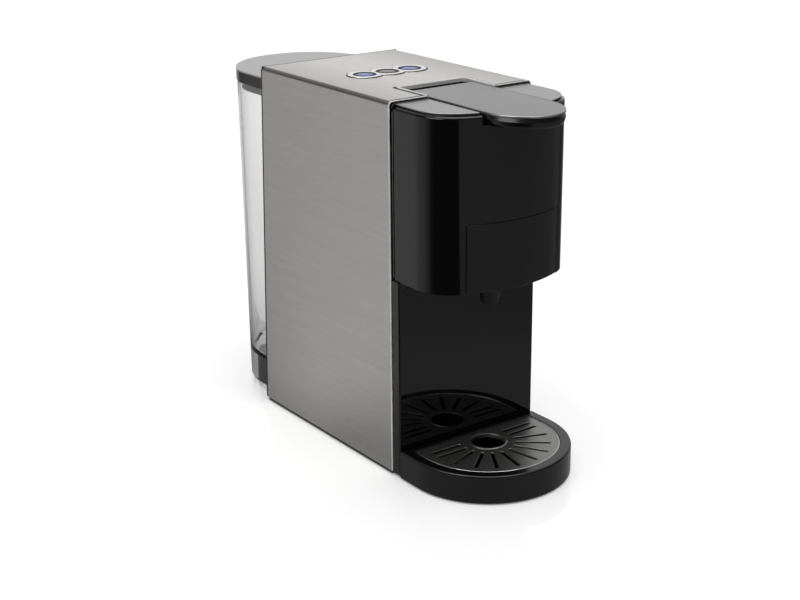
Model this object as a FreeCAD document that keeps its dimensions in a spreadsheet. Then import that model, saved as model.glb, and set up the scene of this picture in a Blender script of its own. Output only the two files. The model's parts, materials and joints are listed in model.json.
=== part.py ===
import FreeCAD, Part
import math
import os
from FreeCAD import Rotation, Vector

# Slim capsule coffee machine, millimetres.  +Z is up, the front (cup side) faces -Y and +X is
# to the right of a person standing in front.  The origin is on the worktop, halfway between the
# lever's tip and the tank's rear, on the machine's plane of symmetry.

os.makedirs("parts", exist_ok=True)
doc = FreeCAD.newDocument("capsule_coffee_machine")
sheet = doc.addObject("Spreadsheet::Sheet", "Sheet")

DIMENSIONS = (
    ("body_width", 127.0, "outside width over the steel wrap"),
    ("body_depth", 167.4, "depth of the steel wrap at its top edge"),
    ("body_height", 280.0, "worktop to the top of the steel wrap"),
    ("steel_wall", 0.8, "thickness of the wrap's sheet"),
    ("bend_radius", 3.0, "outside bend radius of the wrap"),
    ("base_gap", 3.0, "worktop to the lower edge of the steel"),
    ("rear_lean", 10.5, "how far the rear edge leans back at the bottom"),
    ("base_drop", 1.2, "worktop to the underside of the base"),
    ("base_plate", 3.8, "thickness of the base plate"),
    ("foot_radius", 8.0, "rubber foot"),
    ("foot_inset", 14.0, "foot centre from the body's edges"),
    ("panel_wall", 2.5, "wall of the plastic panels"),
    ("column_step", 8.8, "front panel ahead of the steel's front edge"),
    ("column_inset", 0.7, "front panel inside the steel's side"),
    ("head_height", 128.0, "head floor to the top of the steel wrap"),
    ("head_reach", 66.3, "head front ahead of the steel's front edge"),
    ("head_shoulder", 26.7, "straight part of the head's side"),
    ("head_bow", 98.0, "radius of the head's bowed front"),
    ("head_inset", 2.0, "head's side inside the steel's side"),
    ("head_drop", 3.5, "head housing below the top of the steel"),
    ("head_wall", 2.5, "wall of the head housing"),
    ("top_plate", 1.5, "thickness of the satin plates on the head"),
    ("notch_half", 30.2, "half width of the lever notch in the steel top"),
    ("notch_depth", 36.7, "depth of the lever notch"),
    ("trim_wall", 0.9, "wall of the rolled rim round the notch"),
    ("trim_height", 0.5, "rim above the steel top"),
    ("lever_half", 29.0, "half width of the lever"),
    ("lever_back", 13.0, "lever's rear end from the notch's rear edge"),
    ("lever_overhang", 30.0, "lever lip ahead of the head"),
    ("lever_nose", 33.0, "length of the lever's rounded front"),
    ("lever_tip", 25.5, "radius of the lever's tip"),
    ("lever_body", 7.6, "thickness of the lever's black body"),
    ("lever_skin", 1.4, "thickness of the lever's satin plate"),
    ("lever_drop", 0.6, "lever plate below the top of the steel"),
    ("pin_radius", 3.0, "hinge pin"),
    ("pin_play", 0.05, "radial clearance of the hinge"),
    ("pin_setback", 6.0, "hinge pin ahead of the lever's rear end"),
    ("pin_drop", 14.0, "hinge pin below the top of the steel"),
    ("hub_radius", 6.5, "hinge hub under the lever"),
    ("hub_half", 24.0, "half length of the hub"),
    ("well_gap", 1.9, "side clearance of the lever in its well"),
    ("drawer_half", 40.8, "half width of the capsule drawer's front"),
    ("drawer_height", 49.5, "height of the drawer's front"),
    ("drawer_wall", 3.0, "wall of the drawer's front"),
    ("seam", 0.4, "gap round the drawer's front"),
    ("brew_setback", 33.3, "brew axis ahead of the steel's front edge"),
    ("carrier_half", 34.0, "half width of the drawer carrier"),
    ("bowl_radius", 25.0, "opening of the capsule bowl"),
    ("flange_height", 4.0, "carrier's side flanges"),
    ("spout_drop", 20.0, "spout below the head floor"),
    ("press_radius", 24.0, "brew press head"),
    ("press_gap", 0.8, "press above the drawer at rest"),
    ("stem_radius", 7.0, "press stem"),
    ("stem_play", 0.05, "radial clearance of the stem in its guide"),
    ("button_diameter", 15.6, "push button"),
    ("button_pitch", 20.6, "distance between the buttons"),
    ("button_row", 9.5, "row of buttons behind the middle of the body"),
    ("button_play", 0.3, "gap round each button"),
    ("button_travel", 1.0, "how far a button is pushed"),
    ("lobe_radius", 13.6, "each lobe of the button bezel"),
    ("bezel_height", 0.7, "bezel above the steel top"),
    ("tray_reach", 85.0, "drip tray ahead of the front panel"),
    ("tray_inset", 0.2, "tray's side inside the steel's side"),
    ("tray_height", 22.7, "worktop to the tray's rim"),
    ("tray_drop", 0.8, "worktop to the tray's underside"),
    ("tray_wall", 2.0, "wall of the tray"),
    ("tray_gap", 0.5, "tray behind edge to the front panel"),
    ("rim_width", 8.5, "tray rim round the grille"),
    ("grille_rear", 6.7, "grille's straight edge ahead of the front panel"),
    ("grille_sheet", 1.5, "thickness of the grille"),
    ("grille_drop", 0.5, "grille below the tray's rim"),
    ("grille_play", 0.4, "gap round the grille"),
    ("grille_ledge", 2.4, "ledge that carries the grille"),
    ("cup_hole", 13.0, "radius of the hole under the spout"),
    ("slot_width", 3.0, "width of the grille's slots"),
    ("slot_start", 19.8, "inner end of the radial slots"),
    ("slot_end", 46.7, "outer end of the radial slots"),
    ("lid_radius", 56.0, "rear arc of the tank lid"),
    ("lid_height", 10.0, "thickness of the tank lid"),
    ("lid_drop", 10.0, "lid below the top of the steel"),
    ("lid_plate", 1.5, "satin plate on the lid"),
    ("tank_reach", 91.7, "tank lid behind the steel's top rear edge"),
    ("tank_lip", 0.7, "tank inside the lid's edge"),
    ("tank_taper", 1.8, "narrowing of the tank towards its foot"),
    ("tank_wall", 2.5, "wall of the tank"),
    ("tank_foot", 5.5, "worktop to the tank's lower edge"),
    ("tank_floor", 27.5, "worktop to the underside of the tank's floor"),
    ("tank_gap", 1.5, "tank from the rear panel"),
    ("rear_skin", 1.2, "rear panel proud of the steel's rear edge"),
    ("block_half", 46.0, "half width of the block under the tank"),
    ("block_reach", 54.0, "block behind the rear panel"),
    ("block_corner", 15.0, "rear corners of the block"),
    ("cord_setback", 13.5, "cord gland behind the rear panel's foot"),
    ("socket_reach", 24.0, "tank socket behind the rear panel's foot"),
    ("nipple_radius", 6.0, "tank socket's nipple"),
    ("hose_radius", 2.8, "outside radius of the hoses"),
)


class Size:
    """A length that carries its value and the spreadsheet formula that gives it."""

    def __init__(self, value, text):
        self.value = float(value)
        self.text = text

    def __add__(self, other):
        other = size(other)
        return Size(self.value + other.value, f"({self.text} + {other.text})")

    def __sub__(self, other):
        other = size(other)
        return Size(self.value - other.value, f"({self.text} - {other.text})")

    def __mul__(self, other):
        other = size(other)
        return Size(self.value * other.value, f"({self.text} * {other.text})")

    def __truediv__(self, other):
        other = size(other)
        return Size(self.value / other.value, f"({self.text} / {other.text})")

    def __neg__(self):
        return Size(-self.value, f"(0 - {self.text})")

    __radd__ = __add__
    __rmul__ = __mul__

    def __rsub__(self, other):
        return size(other) - self


def size(number):
    return number if isinstance(number, Size) else Size(number, f"({number})")


def fill_sheet():
    named = {}
    for row, (alias, value, meaning) in enumerate(DIMENSIONS, start=1):
        sheet.set(f"A{row}", meaning)
        sheet.set(f"B{row}", str(value))
        sheet.setAlias(f"B{row}", alias)
        named[alias] = Size(value, f"Sheet.{alias}")
    return named


D = fill_sheet()
doc.recompute()

nodes = {}


def bind(item, path, length):
    item.setExpression(path, size(length).text)


def place(item, x, y, z, turn=None):
    if turn:
        item.Placement = FreeCAD.Placement(Vector(), turn)
    for letter, length in zip("xyz", (x, y, z)):
        bind(item, f"Placement.Base.{letter}", length)


def keep(item, name):
    item.Label = name
    nodes[name] = item
    return item


# ---- simple solids --------------------------------------------------------------------

def block(name, x0, x1, y0, y1, z0, z1):
    item = doc.addObject("Part::Box", name)
    bind(item, "Length", size(x1) - x0)
    bind(item, "Width", size(y1) - y0)
    bind(item, "Height", size(z1) - z0)
    place(item, x0, y0, z0)
    return item


TURNS = {
    "x": Rotation(Vector(0, 1, 0), 90),
    "y": Rotation(Vector(1, 0, 0), -90),
    "z": Rotation(),
}


def rod(name, axis, x, y, z, radius, length):
    """Cylinder that starts at x, y, z and runs along the positive axis."""
    item = doc.addObject("Part::Cylinder", name)
    bind(item, "Radius", radius)
    bind(item, "Height", length)
    place(item, x, y, z, TURNS[axis])
    return item


def cone(name, x, y, z, radius_low, radius_high, height):
    item = doc.addObject("Part::Cone", name)
    bind(item, "Radius1", radius_low)
    bind(item, "Radius2", radius_high)
    bind(item, "Height", height)
    place(item, x, y, z)
    return item


def joined(name, *items):
    whole = doc.addObject("Part::MultiFuse", name)
    whole.Shapes = list(items)
    whole.Refine = True
    return whole


def cut(name, base, *tools):
    tool = tools[0] if len(tools) == 1 else joined(f"{name}_tools", *tools)
    rest = doc.addObject("Part::Cut", name)
    rest.Base = base
    rest.Tool = tool
    return rest


def shared(name, *items):
    part = doc.addObject("Part::MultiCommon", name)
    part.Shapes = list(items)
    return part


def group(name, *items):
    """Identical loose pieces kept as separate solids of one node."""
    whole = doc.addObject("Part::Compound", name)
    whole.Links = list(items)
    return whole


# ---- sketched solids ------------------------------------------------------------------

def arc_between(start, end, radius):
    """Minor arc: a positive radius bulges to the right of the way from start to end."""
    chord = end - start
    left = Vector(-chord.y, chord.x, 0).normalize()
    rise = math.sqrt(max(radius * radius - chord.Length ** 2 / 4, 0.0))
    side = 1 if radius > 0 else -1
    centre = (start + end) * 0.5 + left * (rise * side)
    first, last = (start, end) if side > 0 else (end, start)
    angles = [math.atan2(p.y - centre.y, p.x - centre.x) for p in (first, last)]
    circle = Part.Circle(centre, Vector(0, 0, 1), abs(radius))
    return Part.ArcOfCircle(circle, angles[0], angles[1])


def add_chain(sketch, points):
    """Closed outline.  A point is (x, y) or (x, y, radius of the edge that leaves it)."""
    from Sketcher import Constraint
    corners = [[size(number) for number in point] for point in points]
    count = len(corners)
    first = sketch.GeometryCount
    starts = []
    ends = []
    for index, corner in enumerate(corners):
        following = corners[(index + 1) % count]
        start = Vector(corner[0].value, corner[1].value, 0)
        end = Vector(following[0].value, following[1].value, 0)
        bend = corner[2].value if len(corner) > 2 else 0
        edge = arc_between(start, end, bend) if bend else Part.LineSegment(start, end)
        sketch.addGeometry(edge, False)
        starts.append(2 if bend < 0 else 1)
        ends.append(1 if bend < 0 else 2)
    for index, corner in enumerate(corners):
        edge = first + index
        after = (index + 1) % count
        sketch.addConstraint(Constraint("Coincident", edge, ends[index], first + after, starts[after]))
        for kind, length in zip(("DistanceX", "DistanceY"), corner):
            number = sketch.addConstraint(Constraint(kind, -1, 1, edge, starts[index], length.value))
            sketch.setExpression(f"Constraints[{number}]", length.text)
        if len(corner) > 2 and corner[2].value:
            radius = corner[2] if corner[2].value > 0 else -corner[2]
            number = sketch.addConstraint(Constraint("Radius", edge, radius.value))
            sketch.setExpression(f"Constraints[{number}]", radius.text)


def add_circle(sketch, x, y, radius):
    from Sketcher import Constraint
    x, y, radius = size(x), size(y), size(radius)
    centre = Vector(x.value, y.value, 0)
    edge = sketch.addGeometry(Part.Circle(centre, Vector(0, 0, 1), radius.value), False)
    parts = (
        (Constraint("DistanceX", -1, 1, edge, 3, x.value), x),
        (Constraint("DistanceY", -1, 1, edge, 3, y.value), y),
        (Constraint("Radius", edge, radius.value), radius),
    )
    for constraint, length in parts:
        number = sketch.addConstraint(constraint)
        sketch.setExpression(f"Constraints[{number}]", length.text)


def draw(body, role, offset, outlines):
    """Sketch on one of the body's own planes, moved along the plane's normal."""
    sketch = body.newObject("Sketcher::SketchObject", f"{body.Name}_sketch")
    plane = [item for item in body.Origin.OriginFeatures if item.Role == role][0]
    sketch.AttachmentSupport = [(plane, "")]
    sketch.MapMode = "FlatFace"
    bind(sketch, "AttachmentOffset.Base.z", offset)
    for outline in outlines:
        if isinstance(outline[0], tuple):
            add_chain(sketch, outline)
        else:
            add_circle(sketch, *outline)
    return sketch


def new_body(name):
    return doc.addObject("PartDesign::Body", name)


def pad(body, role, offset, outlines, length):
    """XY pads grow up, XZ pads grow to the front (-Y), YZ pads grow to the right (+X)."""
    feature = body.newObject("PartDesign::Pad", f"{body.Name}_pad")
    feature.Profile = draw(body, role, offset, outlines)
    bind(feature, "Length", length)
    body.Tip = feature
    return body


def pocket(body, role, offset, outlines, length):
    """Cuts against the plane's normal: down, to the back (+Y) or to the left (-X)."""
    profile = draw(body, role, offset, outlines)
    doc.recompute()
    before = body.Shape.Volume
    feature = body.newObject("PartDesign::Pocket", f"{body.Name}_pocket")
    feature.Profile = profile
    bind(feature, "Length", length)
    body.Tip = feature
    doc.recompute()
    if body.Shape.Volume > before - 0.01:
        raise RuntimeError(f"a pocket in {body.Name} cuts nothing")
    return body


def prism(name, outlines, z0, z1):
    return pad(new_body(name), "XY_Plane", z0, outlines, size(z1) - z0)


def turned(name, profile, x, y, z):
    """Solid of revolution about a vertical axis; the profile is (radius, height)."""
    body = new_body(name)
    feature = body.newObject("PartDesign::Revolution", f"{name}_turn")
    sketch = draw(body, "XZ_Plane", 0, [profile])
    feature.Profile = sketch
    feature.ReferenceAxis = (sketch, ["V_Axis"])
    feature.Angle = 360
    body.Tip = feature
    place(body, x, y, z)
    return body


def rectangle(x0, x1, y0, y1):
    return [(x0, y0), (x1, y0), (x1, y1), (x0, y1)]


def soft_rectangle(x0, x1, y0, y1, radius):
    """Rectangle with four round corners."""
    x0, x1, y0, y1 = size(x0), size(x1), size(y0), size(y1)
    return [
        (x0 + radius, y0),
        (x1 - radius, y0, radius),
        (x1, y0 + radius),
        (x1, y1 - radius, radius),
        (x1 - radius, y1),
        (x0 + radius, y1, radius),
        (x0, y1 - radius),
        (x0, y0 + radius, radius),
    ]


def nose_outline(half, rear, start, depth, tip):
    """Straight sides from rear to start, then a front bowed with the tip radius."""
    half, start, depth, tip = size(half), size(start), size(depth), size(tip)
    behind = tip - depth
    side = (tip * tip - half * half - behind * behind) / (2 * (tip - half))
    join_x = tip * (half - side) / (tip - side)
    join_y = start + behind - tip * behind / (tip - side)
    return [
        (-half, rear),
        (-half, start, side),
        (-join_x, join_y, tip),
        (join_x, join_y, side),
        (half, start),
        (half, rear),
    ]


def round_front(half, rear, start):
    """Straight rear edge and a half round front."""
    half, start = size(half), size(start)
    return [(-half, rear), (-half, start, half), (0, start - half, half), (half, start), (half, rear)]


def round_rear(half, front, start):
    """Straight front edge and a half round rear."""
    half, start = size(half), size(start)
    return [(half, front), (half, start, half), (0, start + half, half), (-half, start), (-half, front)]


def tube(name, points, bend, radius, bore):
    """Hose along straight runs joined by tangent arcs."""
    corners = [Vector(*(size(number).value for number in point)) for point in points]
    edges = []
    current = corners[0]
    for index in range(1, len(corners) - 1):
        before = (corners[index - 1] - corners[index]).normalize()
        after = (corners[index + 1] - corners[index]).normalize()
        half_turn = (math.pi - before.getAngle(after)) / 2
        reach = bend * math.tan(half_turn)
        entry = corners[index] + before * reach
        leave = corners[index] + after * reach
        inward = (before + after).normalize()
        centre = corners[index] + inward * (bend / math.cos(half_turn))
        middle = centre - inward * bend
        edges.append(Part.LineSegment(current, entry).toShape())
        edges.append(Part.Arc(entry, middle, leave).toShape())
        current = leave
    edges.append(Part.LineSegment(current, corners[-1]).toShape())
    path = Part.Wire(edges)
    along = (corners[1] - corners[0]).normalize()
    solids = []
    for distance in (radius, bore):
        circle = Part.Wire([Part.Circle(corners[0], along, distance).toShape()])
        solids.append(path.makePipeShell([circle], True, False))
    if abs(solids[0].Volume / (math.pi * radius ** 2 * path.Length) - 1) > 0.01:
        raise RuntimeError(f"{name} has the wrong volume")
    item = doc.addObject("Part::Feature", name)
    item.Shape = solids[0].cut(solids[1])
    return item


# ---- places that several pieces share ---------------------------------------------------

half_width = D["body_width"] / 2
front_reach = D["head_reach"] + D["lever_overhang"]
steel_front = (front_reach - D["body_depth"] - D["tank_reach"]) / 2
steel_rear = steel_front + D["body_depth"]
steel_top = D["body_height"]
inside_half = half_width - D["steel_wall"]
floor_top = D["base_drop"] + D["base_plate"]
column_front = steel_front - D["column_step"]
column_half = half_width - D["column_inset"]
head_floor = steel_top - D["head_height"]
head_top = steel_top - D["head_drop"]
head_half = half_width - D["head_inset"]
head_start = steel_front - D["head_shoulder"]
head_depth = D["head_reach"] - D["head_shoulder"]
brew_y = steel_front - D["brew_setback"]
notch_rear = steel_front + D["notch_depth"]
lever_rear = notch_rear - D["lever_back"]
lever_top = steel_top - D["lever_drop"]
lever_under = lever_top - D["lever_skin"] - D["lever_body"]
lever_front = steel_front - D["head_reach"] - D["lever_overhang"]
lever_start = lever_front + D["lever_nose"]
pin_y = lever_rear - D["pin_setback"]
pin_z = steel_top - D["pin_drop"]
well_half = D["lever_half"] + D["well_gap"]
bulkhead_rear = steel_front + 3
drawer_top = head_floor + D["drawer_height"]
tray_rear = column_front - D["tray_gap"]
tray_half = half_width - D["tray_inset"]
tray_start = column_front - D["tray_reach"] + tray_half
grille_half = tray_half - D["rim_width"]
grille_top = D["tray_height"] - D["grille_drop"]
grille_under = grille_top - D["grille_sheet"]
lid_top = steel_top - D["lid_drop"]
lid_under = lid_top - D["lid_height"]
lid_start = steel_rear + D["tank_reach"] - D["lid_radius"]
tank_half = D["lid_radius"] - D["tank_lip"]
panel_foot = steel_rear + D["rear_lean"] + D["rear_skin"]
socket_y = panel_foot + D["socket_reach"]
block_top = D["tank_floor"] - 2.5
cord_y = panel_foot + D["cord_setback"]
cord_z = D["base_gap"] + 10.5


def lean_at(height):
    """How far the rear edge stands behind the steel's top rear corner at a height."""
    return D["rear_lean"] * (steel_top - height) / (steel_top - D["base_gap"])


def head_outline(inset, rear):
    return nose_outline(head_half - inset, rear, head_start, head_depth - inset, D["head_bow"] - inset)


def lever_outline(inset, rear):
    return nose_outline(D["lever_half"] - inset, rear, lever_start,
                        D["lever_nose"] - inset, D["lever_tip"] - inset)


# ---- body ---------------------------------------------------------------------------------

def make_steel_wrap():
    """One sheet bent over the top, with the notch, the bezel slot and a leaning rear edge."""
    wall, bend = D["steel_wall"], D["bend_radius"]
    inner = bend - wall
    profile = [
        (-half_width, D["base_gap"]),
        (-inside_half, D["base_gap"]),
        (-inside_half, steel_top - bend, -inner),
        (-half_width + bend, steel_top - wall),
        (half_width - bend, steel_top - wall, -inner),
        (inside_half, steel_top - bend),
        (inside_half, D["base_gap"]),
        (half_width, D["base_gap"]),
        (half_width, steel_top - bend, bend),
        (half_width - bend, steel_top),
        (-half_width + bend, steel_top, bend),
        (-half_width, steel_top - bend),
    ]
    wrap = pad(new_body("steel_wrap"), "XZ_Plane", -panel_foot, [profile], panel_foot - steel_front)
    behind = [
        (steel_rear, steel_top + 1),
        (steel_rear, steel_top),
        (steel_rear + D["rear_lean"], D["base_gap"]),
        (steel_rear + D["rear_lean"], D["base_gap"] - 1),
        (panel_foot + 1, D["base_gap"] - 1),
        (panel_foot + 1, steel_top + 1),
    ]
    pocket(wrap, "YZ_Plane", half_width + 1, [behind], D["body_width"] + 2)
    notch = rectangle(-D["notch_half"], D["notch_half"], steel_front - 1, notch_rear)
    slot_half = D["button_pitch"] + D["button_diameter"] / 2 + 2
    deep = D["button_diameter"] / 2 + 2
    slot = rectangle(-slot_half, slot_half, D["button_row"] - deep, D["button_row"] + deep)
    pocket(wrap, "XY_Plane", steel_top + 1, [notch, slot], wall + 2)
    keep(wrap, "steel_wrap")


def make_notch_trim():
    """Rolled rim that lines the three closed sides of the notch."""
    outer = D["notch_half"]
    inner = outer - D["trim_wall"]
    low = steel_top - 4
    high = steel_top + D["trim_height"]
    outline = [
        (-outer, steel_front), (-inner, steel_front),
        (-inner, notch_rear - D["trim_wall"]), (inner, notch_rear - D["trim_wall"]),
        (inner, steel_front), (outer, steel_front),
        (outer, notch_rear), (-outer, notch_rear),
    ]
    keep(prism("notch_trim", [outline], low, high), "notch_trim")


def make_base_frame():
    """Base plate, the strip under the steel, the block that carries the tank and its ribs."""
    rear_floor = steel_rear + lean_at(floor_top) - D["panel_wall"]
    plate = prism("base_plate_body",
                  [soft_rectangle(-half_width + 0.3, half_width - 0.3, steel_front,
                                  steel_rear + D["rear_lean"], 2)],
                  D["base_drop"], D["base_gap"])
    raised = prism("base_raised", [rectangle(-inside_half + 0.2, inside_half - 0.2, steel_front, rear_floor)],
                   D["base_gap"], floor_top)
    tank_block = prism("base_tank_block", [block_outline(steel_rear + D["rear_lean"] - 3)],
                       D["base_drop"], D["base_gap"])
    top_block = prism("base_block_top", [block_outline(panel_foot + 0.2)], D["base_gap"], block_top)
    ribs = [block(f"base_rib_{index}", x, x + 2, steel_front + 12, rear_floor - 6, floor_top, floor_top + 6)
            for index, x in enumerate((-50, 53))]
    posts = [rod(f"base_post_{index}", "z", x, y, floor_top, 5, 12)
             for index, (x, y) in enumerate(screw_places())]
    solid = joined("base_solid", plate, raised, tank_block, top_block, *ribs, *posts)
    hollows = [
        rod(f"base_foot_pocket_{index}", "z", x, y, D["base_drop"] - 1, D["foot_radius"] + 0.1, 2)
        for index, (x, y) in enumerate(foot_places())
    ]
    channel = block("base_hose_channel", -5, 5, panel_foot - 8, socket_y + 2, D["base_gap"] + 4,
                    D["base_gap"] + 14)
    riser = rod("base_hose_riser", "z", 0, socket_y, D["base_gap"] + 4, 5, 40)
    cord_way = block("base_cord_channel", 28, 40, panel_foot - 8, cord_y + 6, D["base_gap"] + 4,
                     D["base_gap"] + 14)
    cord_hole = rod("base_cord_hole", "x", D["block_half"] - 10, cord_y, cord_z, 6.1, 12)
    screws = [rod(f"base_screw_hole_{index}", "z", x, y, 0, 1.6, floor_top + 13)
              for index, (x, y) in enumerate(screw_places())]
    heads = [rod(f"base_head_hole_{index}", "z", x, y, 0, 3.3, D["base_drop"] + 1.6)
             for index, (x, y) in enumerate(screw_places())]
    slots = [block(f"base_tongue_slot_{index}", x, x + 11, steel_front - 1, steel_front + 8,
                   D["base_gap"] + 0.7, floor_top + 1)
             for index, x in enumerate((-40.5, 29.5))]
    keep(cut("base_frame", solid, *hollows, channel, riser, cord_way, cord_hole, *screws, *heads, *slots),
         "base_frame")


def block_outline(front):
    """Block under the tank: square where it meets the body, well rounded at the rear."""
    half, bend = D["block_half"], D["block_corner"]
    rear = panel_foot + D["block_reach"]
    return [(half, front), (half, rear - bend, bend), (half - bend, rear), (-half + bend, rear, bend),
            (-half, rear - bend), (-half, front)]


def foot_places():
    front = (half_width - D["foot_inset"], steel_front + D["foot_inset"])
    rear = (D["block_half"] - D["foot_inset"], panel_foot + D["block_reach"] - D["foot_inset"])
    return [(side * x, y) for side in (-1, 1) for x, y in (front, rear)]


def screw_places():
    return [(20, -66), (-20, -66), (25, 74), (-25, 74)]


def make_feet():
    feet = []
    for index, (x, y) in enumerate(foot_places()):
        profile = [(0, 0), (D["foot_radius"] - 1, 0), (D["foot_radius"], 1), (D["foot_radius"], D["base_drop"] + 1),
                   (0, D["base_drop"] + 1)]
        feet.append(turned(f"foot_{index}", profile, x, y, 0))
    keep(group("rubber_feet", *feet), "rubber_feet")


def make_base_screws():
    screws = []
    for index, (x, y) in enumerate(screw_places()):
        profile = [(0, 0), (2.6, 0), (3.0, 0.4), (3.0, 1.5), (1.5, 1.5), (1.5, 13), (0, 14)]
        head = turned(f"base_screw_{index}", profile, x, y, D["base_drop"] + 0.1)
        drive = block(f"base_screw_slot_{index}", size(x) - 0.4, size(x) + 0.4, size(y) - 2, size(y) + 2,
                      D["base_drop"] - 0.5, D["base_drop"] + 0.9)
        screws.append(cut(f"base_screw_cut_{index}", head, drive))
    keep(group("base_screws", *screws), "base_screws")


def make_bulkhead():
    """Upright plate behind the front panel: it carries the head, the well and the press shelf."""
    plate = block("bulkhead_plate", -inside_half + 0.3, inside_half - 0.3, steel_front, bulkhead_rear,
                  floor_top, steel_top - 30)
    window = block("bulkhead_window", -10, 10, steel_front - 1, bulkhead_rear + 1, shelf_top() + 1,
                   shelf_top() + 18)
    slots = [block(f"bulkhead_slot_{index}", x, x + 11, steel_front - 1, bulkhead_rear + 1,
                   floor_top - 1, floor_top + 5)
             for index, x in enumerate((-40.5, 29.5))]
    keep(cut("bulkhead", plate, window, *slots), "bulkhead")


def make_column_panel():
    """Glossy front panel of the body under the head, with its side returns."""
    outer = soft_front(column_half, column_front, steel_front, 1.2)
    half = column_half - D["panel_wall"]
    inner_face = column_front + D["panel_wall"]
    outline = outer + [(half, steel_front), (half, inner_face), (-half, inner_face), (-half, steel_front)]
    panel = prism("column_panel", [outline], D["base_drop"] + 1, head_floor)
    recesses = [(side * (column_half - 8), head_floor - 7.5, 3) for side in (-1, 1)]
    pocket(panel, "XZ_Plane", -column_front, recesses, 1.5)
    slots = [rectangle(x, x + 11, 0, floor_top + 5) for x in (-40.5, 29.5)]
    pocket(panel, "XZ_Plane", -column_front + 1, slots, D["panel_wall"] + 2)
    keep(panel, "column_panel")


def soft_front(half, front, rear, radius):
    """Box outline whose two front corners are rounded; it starts at the rear left corner."""
    half, front = size(half), size(front)
    return [
        (-half, rear),
        (-half, front + radius, radius),
        (-half + radius, front),
        (half - radius, front, radius),
        (half, front + radius),
        (half, rear),
    ]


def make_rear_panel():
    """Leaning back of the body, with the tank's two guide ribs and the cord hole."""
    top = steel_top - D["bend_radius"] - 0.2
    wall, skin = D["panel_wall"], D["rear_skin"]
    outline = [
        (steel_rear + lean_at(floor_top) - wall, floor_top),
        (steel_rear + lean_at(floor_top), floor_top),
        (steel_rear + lean_at(top), top),
        (steel_rear + lean_at(top) - wall, top),
    ]
    panel = pad(new_body("rear_panel_sheet"), "YZ_Plane", -inside_half + 0.2, [outline],
                inside_half * 2 - 0.4)
    skin_outline = [
        (steel_rear + lean_at(D["base_gap"]), D["base_gap"]),
        (steel_rear + lean_at(D["base_gap"]) + skin, D["base_gap"]),
        (steel_rear + skin, steel_top),
        (steel_rear, steel_top),
    ]
    cover = pad(new_body("rear_panel_skin"), "YZ_Plane", -half_width + 0.4, [skin_outline],
                half_width * 2 - 0.8)
    solid = joined("rear_panel_solid", panel, cover)
    hose = block("rear_panel_hose_hole", -6, 6, steel_rear - 6, steel_rear + 20, 0, D["base_gap"] + 15)
    cord = block("rear_panel_cord_hole", 27, 41, steel_rear - 6, steel_rear + 20, 0, D["base_gap"] + 15)
    keep(cut("rear_panel", solid, cord, hose), "rear_panel")


def make_cord_gland():
    """Inlet for the mains lead in the right face of the block under the tank."""
    face = D["block_half"]
    barrel = rod("gland_barrel", "x", face - 9, cord_y, cord_z, 5.9, 9.5)
    collar = rod("gland_collar", "x", face, cord_y, cord_z, 7.2, 2)
    bore = rod("gland_bore", "x", face - 12, cord_y, cord_z, 3.4, 20)
    keep(cut("cord_gland", joined("gland_solid", barrel, collar), bore), "cord_gland")


# ---- head ---------------------------------------------------------------------------------

def make_head_housing():
    """Overhanging shell with the drawer's opening and the lever's channel."""
    wall = D["head_wall"]
    shell = prism("head_housing", [head_outline(0, steel_front)], head_floor, head_top)
    pocket(shell, "XY_Plane", head_top - wall, [head_outline(wall, steel_front + 1)],
           head_top - head_floor - 2 * wall)
    gap = D["seam"]
    front = column_front - D["tray_reach"]
    door = rectangle(-D["drawer_half"] - gap, D["drawer_half"] + gap, head_floor - 1, drawer_top + gap)
    pocket(shell, "XZ_Plane", -front, [door], brew_y - front - 12)
    path = rectangle(-D["carrier_half"] - 0.8, D["carrier_half"] + 0.8, front, steel_front - 7.5)
    pocket(shell, "XY_Plane", head_floor + wall + 0.5, [path], wall + 1)
    channel = rectangle(-well_half, well_half, lever_under - 0.5, head_top + 1)
    pocket(shell, "XZ_Plane", -front, [channel], steel_front - front + 1)
    keep(shell, "head_housing")


def make_head_plates():
    """Two satin plates on the head, one each side of the lever, set in from its shoulder."""
    whole = prism("head_plate_blank", [head_outline(2.4, steel_front - 0.6)], head_top,
                  head_top + D["top_plate"])
    channel = block("head_plate_channel", -D["notch_half"], D["notch_half"], lever_front, steel_front,
                    head_top - 1, steel_top + 1)
    keep(cut("head_plate_pair", whole, channel), "head_top_plates")


def make_lever_well():
    """Channel under the lever: it holds the hinge pin and closes the head's top."""
    wall = D["head_wall"]
    front = head_start - head_depth + 9
    deep = steel_top - 30
    shallow = pin_z - 8
    outer = block("well_front", -well_half - wall, well_half + wall, front, steel_front, shallow - wall,
                  head_top - wall)
    hollow = block("well_front_hollow", -well_half, well_half, front - 1, steel_front + 1, shallow, head_top)
    rear = block("well_rear", -well_half - wall, well_half + wall, steel_front, notch_rear + wall,
                 deep, steel_top - 4.3)
    rear_hollow = block("well_rear_hollow", -well_half, well_half, steel_front - 0.5, notch_rear,
                        deep + wall, steel_top)
    drop = rod("well_press_hole", "z", 0, brew_y, shallow - 10, D["stem_radius"] + 7, 20)
    bore = rod("well_pin_hole", "x", -well_half - 5, pin_y, pin_z, D["pin_radius"], well_half * 2 + 10)
    solid = joined("well_solid", outer, rear)
    keep(cut("lever_well", solid, hollow, rear_hollow, drop, bore), "lever_well")


def make_lever_pin():
    reach = well_half + D["head_wall"]
    pin = rod("lever_pin_rod", "x", -reach, pin_y, pin_z, D["pin_radius"], reach * 2)
    head = rod("lever_pin_head", "x", reach, pin_y, pin_z, 4.5, 1.5)
    keep(joined("lever_pin", pin, head), "lever_pin")


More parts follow.
